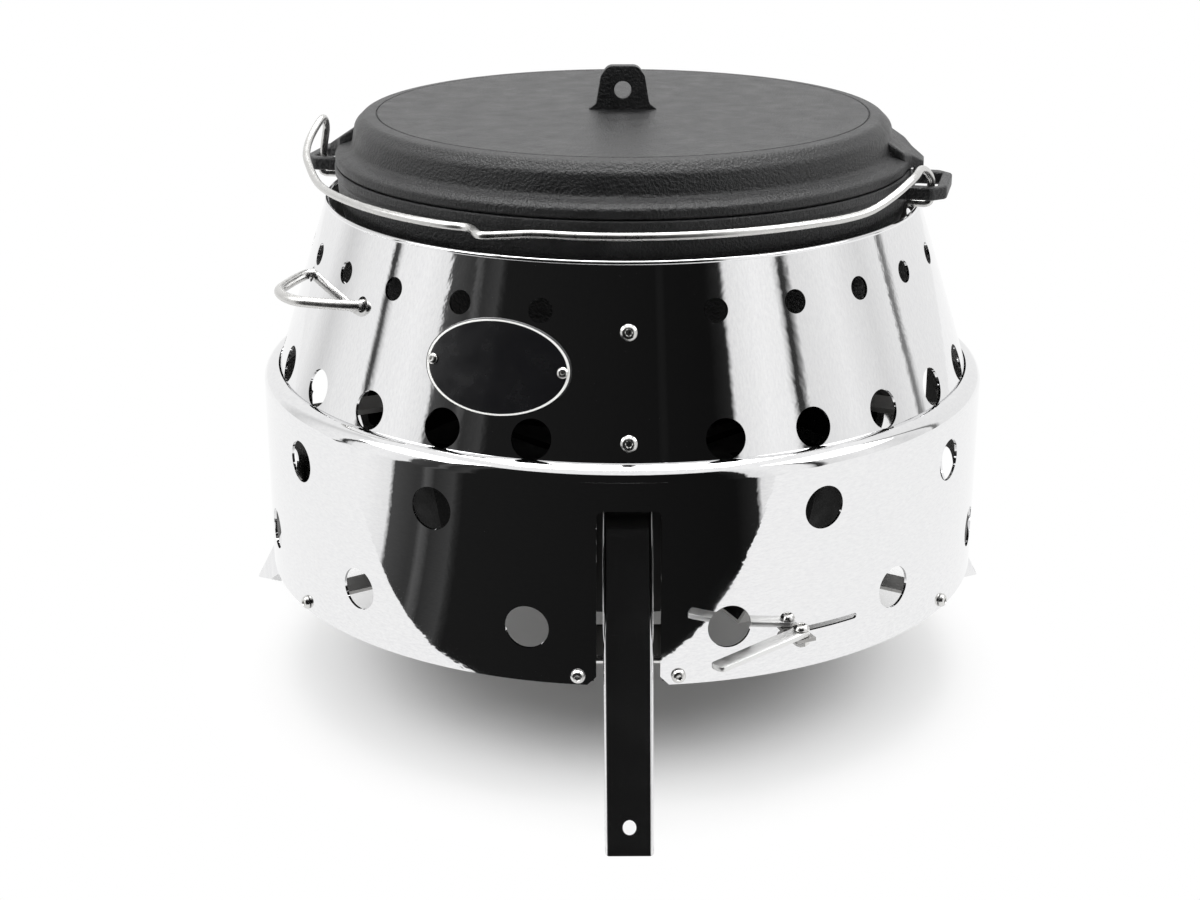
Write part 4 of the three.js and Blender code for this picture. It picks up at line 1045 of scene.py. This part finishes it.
def make_lid():
    low = RIM_TOP + GAP
    profile = rounded([
        (0, 274), (149, 274, 4), (162, 258.8, 3), (162, 246.8), (166, 246.8), (166, low),
        (174.6, low, 0.8), (175.5, 252.2, 0.8), (175.5, 256.8, 3), (171.4, 259.0, 4), (165.4, 260.8, 4),
        (164.4, 267, 6), (163.2, 273.6, 6), (157.4, 279.3, 6), (150.3, LID_TOP, 0.5),
        (149.7, LID_TOP - 1.1, 0.3), (149.1, LID_TOP, 0.3), (0, LID_TOP),
    ], steps=6)
    lid = revolved("lid_casting", profile, 220, IRON)
    parts = []
    for turn in (0, 180):
        parts += lid_lug(EAR_AZIMUTH + LID_TURN + turn, low)
    parts.append(lid_tab())
    fuse(lid, *parts)
    put(lid, "lid", "cast_iron", "lid")


def lid_lug(azimuth, low):
    """A wedge that runs down over the ear and narrows to its end, and the toe under that end."""
    flat = side_move(azimuth)
    root, end = (163.3, 268.0), (183.5, 254.6)

    def sloped(point):
        top = root[1] + (end[1] - root[1]) * (point[1] - root[0]) / (end[0] - root[0])
        share = (point[2] - low) / (root[1] - low)
        return flat(Vector((point[0], point[1], low + share * (top - low))))

    wedge = rounded(mirrored([(27, 160), (26.6, 171.8, 3), (14.5, 176.5, 8), (8, 183.4, 3.2)]),
                    closed=True, steps=6)
    toe = rounded(mirrored([(12, 177.4, 1), (7.6, 183.2, 3)]), closed=True, steps=6)
    return [slab("lug_wedge", wedge, [], low + 1, root[1], IRON, sloped, edge=2.2, segments=4),
            slab("lug_toe", toe, [], 247.4, 253.4, IRON, flat, edge=1.2, segments=3)]


def lid_tab():
    """The lifting tab, drawn flat above the lid's top and then stood up."""
    thick = 7.2
    right = [(21, -3), (20.4, 0.6, 0.5), (16.2, 3.6, 4), (13.4, 20.5, 5), (9.0, 26.4, 6)]
    outline = rounded(mirrored(right), closed=True, steps=7)
    hole = circle_at(0, 12.0, 5.2, 36)

    def stood_up(point):
        return Vector((point[0], -point[2], LID_TOP + point[1]))

    return slab("tab", outline, [hole], -thick / 2, thick / 2, IRON, stood_up, edge=1.3, segments=3)


make_lid()


# Bail


def make_bail():
    """A hook in each ear, the left one higher, and between them an arc round the front of the pot."""
    hinge, hook, axis, wire = 23.75, 8.8, 242.0, 4.6
    span, rise, lean, high, high_lean = 190.0, 17.0, 2.2, 27.5, 2.5
    low = -0.8 * hook
    back = hinge - 0.6 * hook
    leg = hinge - hook
    over = hinge + hook * 1.75
    end = [(span - 12.5, back, low), (span - 6.25, back, low), (span - wire * 0.6, back, low),
           (span, back - wire * 0.1, low + wire * 0.35)]
    right_hook = end + [
        (span, leg, rise * 0.05), (span, leg + hook * 0.15, rise * 0.42),
        (span - lean, leg + hook * 1.1, rise * 0.78), (span - 2 * lean, over, rise),
    ]
    left_hook = end + [
        (span, leg, 0), (span - high_lean * 0.1, leg - hook * 0.15, high * 0.33),
        (span - high_lean * 0.7, leg - hook * 0.3, high * 0.76),
        (span - high_lean, leg + hook * 0.6, high), (span - high_lean * 0.7, over, high * 0.71),
    ]

    # Left of its middle the wire is bent out in a crank, which starts, peaks and ends at these angles
    crank, crank_out = (-13.5, -9.5, -1.5), 12
    arc_radius, arc_end, arc_lift = 186, 72, 2.5
    flare_start, flare_out, climb_start = 38, 7, 57

    def radius_at(angle):
        share = 0.0
        if crank[0] < angle <= crank[1]:
            share = (angle - crank[0]) / (crank[1] - crank[0])
        elif crank[1] < angle < crank[2]:
            share = (crank[2] - angle) / (crank[2] - crank[1])
        flare = max(0.0, abs(angle) - flare_start) / (arc_end - flare_start)
        return arc_radius + crank_out * share + flare_out * flare * flare

    angles = [*crank]
    for angle in spaced(-arc_end, arc_end, 6):
        if all(abs(taken - angle) > 2 for taken in crank):
            angles.append(angle)
    arc = []
    for angle in sorted(angles):
        share = max(0.0, abs(angle) - climb_start) / (arc_end - climb_start)
        climb = (rise * 0.8 if angle > 0 else high * 0.38) * share ** 1.4
        arc.append(polar(radius_at(angle), angle, axis + arc_lift + climb))
    left = [Vector((-x, -out, axis + up)) for x, out, up in left_hook]
    right = [Vector((x, -out, axis + up)) for x, out, up in reversed(right_hook)]
    turn = Matrix.Rotation(math.radians(EAR_AZIMUTH - 90), 4, "Z")
    bail = bent_wire("bail_wire", left + arc + right, wire, WIRE, lambda point: turn @ point)
    put(bail, "bail", "satin_steel", "bail")


make_bail()


# Air lever, its screw, and the parts that keep their CAD shape


def make_lever():
    turn = Matrix.Rotation(math.radians(LEVER_AZIMUTH), 4, "Z")
    aside = Matrix.Rotation(math.radians(LEVER_TURN), 4, "Z")
    base = turn @ Matrix.Translation((0, -LEVER_PIVOT_RADIUS, 0))
    half, straight_from = LEVER_HALF, 50
    turns = [math.radians(t) for t in range(0, 181, 12)]
    outline = [(half * math.cos(t), -half * math.sin(t)) for t in turns]
    outline += rounded([(-half, straight_from), (-half, LEVER_END, 3.0), (half, LEVER_END, 3.0),
                        (half, straight_from)], steps=6)
    hole = circle_at(0, 0, LEVER_HOLE_RADIUS, 20)

    def laid(point):
        return base @ aside @ Vector((point[0], -point[1], point[2]))

    lever = slab("lever_bar", outline, [hole], LEVER_LOW, LEVER_TOP, LEVER_STEEL, laid, edge=0.5)
    put(lever, "lever", "polished_sheet", "air_lever")
    move = base @ Matrix.Translation((0, 0, LEVER_TOP + GAP))
    screw = button_screw("lever_button", LEVER_SCREW, lambda point: move @ point)
    put(screw, "shutter", "satin_steel", "lever_screw")


make_lever()

CAD_FINISHES = {
    "fire_bowl": SHADED_BLACK,
    "charcoal_grate": SHADED_BLACK,
    "air_shutter": SATIN,
    "shutter_pin": FASTENER,
    "lever_nut": FASTENER,
    "seam_nut_1": FASTENER,
    "seam_nut_2": FASTENER,
}
for prefix in ("bowl_support_", "pot_rest_"):
    for number in (1, 2, 3):
        CAD_FINISHES[f"{prefix}{number}"] = SATIN
for side in LEG_AZIMUTHS:
    CAD_FINISHES[f"leg_bracket_{side}"] = SHADED_SHEET_BACK
    CAD_FINISHES[f"leg_pin_{side}"] = FASTENER
for name, finish in CAD_FINISHES.items():
    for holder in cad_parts[name].material_slots:
        holder.material = finish


# Floor, light and camera


def stage_mesh(name, points, faces, material):
    mesh = bpy.data.meshes.new(name)
    mesh.from_pydata([Vector(point) for point in points], [], faces)
    mesh.materials.append(material)
    piece = linked(name, mesh)
    return piece


def only_in_reflections(piece):
    piece.visible_camera = False
    piece.visible_shadow = False
    piece.visible_diffuse = False
    piece.visible_transmission = False


# The floor's shadow fades to plain white between these distances from the stove's axis, in metres
SHADOW_REACH = (0.1, 0.29)

# Brightness of the studio round the table, by the azimuth that it is seen at: two white panels,
# each with the gaps between its sheets, and the dark room between them
STUDIO_PANELS = (
    (-180, 0.95), (-128, 0.95), (-116, 0.72), (-104, 0.92), (-90.6, 0.97), (-90, 0.05), (-87.6, 0.05),
    (-87, 0.95), (-74, 1.0), (-64.6, 0.88), (-63.4, 0.07), (-55, 0.035), (-53, 0.11), (-51, 0.03),
    (-45, 0.05), (-43, 0.012), (28, 0.006), (34, 0.02), (35.2, 0.86), (46, 1.0), (54.6, 0.96),
    (55.4, 0.03), (58.6, 0.05), (60, 0.82), (76, 0.95), (92, 0.78), (103, 0.9), (104, 0.2), (106, 0.26),
    (107.5, 0.9), (180, 0.95),
)


def studio_surround():
    material = bpy.data.materials.new("studio surround")
    material.use_nodes = True
    tree = material.node_tree
    tree.nodes.clear()
    spot = node(tree, "ShaderNodeNewGeometry").outputs["Position"]
    parts = node(tree, "ShaderNodeSeparateXYZ", {"Vector": spot})
    back = node(tree, "ShaderNodeMath", {0: AXIS_Y * MM, 1: parts.outputs["Y"]}, operation="SUBTRACT")
    azimuth = node(tree, "ShaderNodeMath", {0: parts.outputs["X"], 1: back.outputs[0]}, operation="ARCTAN2")
    share = node(tree, "ShaderNodeMapRange", {"Value": azimuth.outputs[0], "From Min": -math.pi,
                                              "From Max": math.pi})
    panels = node(tree, "ShaderNodeValToRGB", {"Fac": share.outputs[0]})
    stops = panels.color_ramp.elements
    while len(stops) > 1:
        stops.remove(stops[-1])
    for i, (angle, value) in enumerate(STUDIO_PANELS):
        stop = stops[0] if i == 0 else stops.new(angle / 360 + 0.5)
        stop.position = angle / 360 + 0.5
        stop.color = (value, value, value, 1)
    glow = node(tree, "ShaderNodeEmission", {"Color": panels.outputs["Color"], "Strength": 1.0})
    leave = node(tree, "ShaderNodeOutputMaterial")
    tree.links.new(glow.outputs[0], leave.inputs[0])
    return material


def white_to_eye(tree):
    """1 for rays from the camera and for reflected or transmitted ones, 0 for soft light."""
    path = node(tree, "ShaderNodeLightPath")
    seen = path.outputs["Is Camera Ray"]
    for kind in ("Is Glossy Ray", "Is Transmission Ray"):
        seen = node(tree, "ShaderNodeMath", {0: seen, 1: path.outputs[kind]}, operation="MAXIMUM").outputs[0]
    return seen


def pale_floor():
    """White paper that keeps the shadow near the object and turns plain white further out."""
    material, tree, shader = new_material("pale floor", (0.9, 0.9, 0.9), 0.8, 0.0, Specular_IOR_Level=0.1)
    spot = node(tree, "ShaderNodeTexCoord").outputs["Object"]
    fibre = node(tree, "ShaderNodeTexNoise", {"Vector": spot, "Scale": 90.0, "Detail": 4.0})
    tone = blend(tree, fibre.outputs[0], (0.895, 0.895, 0.895), (0.905, 0.905, 0.905))
    tree.links.new(tone, shader.inputs["Base Color"])
    offset = node(tree, "ShaderNodeVectorMath", {0: spot, 1: (0, AXIS_Y * MM, 0)}, operation="SUBTRACT")
    reach = node(tree, "ShaderNodeVectorMath", {0: offset.outputs[0]}, operation="LENGTH")
    fade = node(tree, "ShaderNodeMapRange", {"Value": reach.outputs["Value"], "From Min": SHADOW_REACH[0],
                                             "From Max": SHADOW_REACH[1]},
                interpolation_type="SMOOTHSTEP")
    amount = node(tree, "ShaderNodeMath", {0: fade.outputs[0], 1: white_to_eye(tree)}, operation="MULTIPLY")
    white = node(tree, "ShaderNodeEmission", {"Color": (1, 1, 1, 1), "Strength": 1.0})
    mixed = node(tree, "ShaderNodeMixShader", {0: amount.outputs[0]})
    tree.links.new(shader.outputs[0], mixed.inputs[1])
    tree.links.new(white.outputs[0], mixed.inputs[2])
    tree.links.new(mixed.outputs[0], tree.nodes["Material Output"].inputs[0])
    return material


# The front edge of the pale table as the polished sheet shows it, with its slant, and the room's
# round wall, in metres
TABLE_EDGE, TABLE_SKEW = -0.36, -0.385
ROOM_RADIUS, ROOM_HEIGHT = 2.3, 2.6

# Name, place in metres and power in watts of each square softbox
SOFTBOX_SIZE = 1.5
SOFTBOXES = (
    ("left_softbox", (-2.0, -0.5, 1.7), 27),
    ("right_softbox", (2.0, -0.4, 1.7), 22),
    ("top_softbox", (0.0, 0.35, 2.1), 44),
)
LAMP_TARGET = (0, 0, 0.25)
WORLD_LIGHT = 0.55

# The camera's place in metres, its angles in radians and its lens in millimetres, fitted to the photo
CAMERA_PLACE = (-0.02362, -1.22063, 0.5754)
CAMERA_HEADING, CAMERA_TILT = 0.00785, 0.3406
CAMERA_LENS = 61.30


def make_floor():
    far = 8.0
    stage_mesh("floor", [(-far, -far, 0), (far, -far, 0), (far, far, 0), (-far, far, 0)], [(0, 1, 2, 3)],
               pale_floor())


def make_surround():
    """The dark room and its panels, seen only in the polished sheet: a round wall and the room's floor."""
    material = studio_surround()
    steps = 96
    points = []
    for x, y in circle(steps):
        for height in (-0.1, ROOM_HEIGHT):
            points.append((ROOM_RADIUS * y, AXIS_Y * MM - ROOM_RADIUS * x, height))
    count = len(points)
    faces = [(2 * i, 2 * i + 1, (2 * i + 3) % count, (2 * i + 2) % count) for i in range(steps)]
    only_in_reflections(stage_mesh("studio_wall", points, faces, material))
    side, low = 2.2, 0.0015
    edge = [(x, TABLE_EDGE + TABLE_SKEW * x) for x in (-side, side)]
    corners = [(*edge[0], low), (edge[0][0], -side, low), (edge[1][0], -side, low), (*edge[1], low)]
    only_in_reflections(stage_mesh("room_floor", corners, [(0, 1, 2, 3)], material))


def make_world():
    world = bpy.data.worlds.new("studio")
    bpy.context.scene.world = world
    world.use_nodes = True
    tree = world.node_tree
    shade = tree.nodes["Background"]
    bright = node(tree, "ShaderNodeMix", {0: white_to_eye(tree), 2: WORLD_LIGHT, 3: 1.0}, data_type="FLOAT")
    shade.inputs["Color"].default_value = (1, 1, 1, 1)
    tree.links.new(bright.outputs[0], shade.inputs["Strength"])


def make_lamps():
    for name, spot, power in SOFTBOXES:
        lamp = bpy.data.lights.new(name, "AREA")
        lamp.shape = "RECTANGLE"
        lamp.size = SOFTBOX_SIZE
        lamp.size_y = SOFTBOX_SIZE
        lamp.energy = power
        holder = linked(name, lamp)
        holder.location = spot
        holder.rotation_euler = (Vector(LAMP_TARGET) - Vector(spot)).to_track_quat("-Z", "Y").to_euler()


def make_camera():
    lens = bpy.data.cameras.new("product_camera")
    lens.sensor_width = 36.0
    lens.lens = CAMERA_LENS
    camera = linked("product_camera", lens)
    heading, tilt = CAMERA_HEADING, CAMERA_TILT
    right = Vector((math.cos(heading), -math.sin(heading), 0))
    ahead = Vector((math.sin(heading) * math.cos(tilt), math.cos(heading) * math.cos(tilt), -math.sin(tilt)))
    up = right.cross(ahead)
    turn = Matrix((right, up, -ahead)).transposed().to_4x4()
    camera.matrix_world = Matrix.Translation(CAMERA_PLACE) @ turn
    bpy.context.scene.camera = camera


make_floor()
make_surround()
make_world()
make_lamps()
make_camera()
bpy.context.scene.view_settings.view_transform = "Standard"
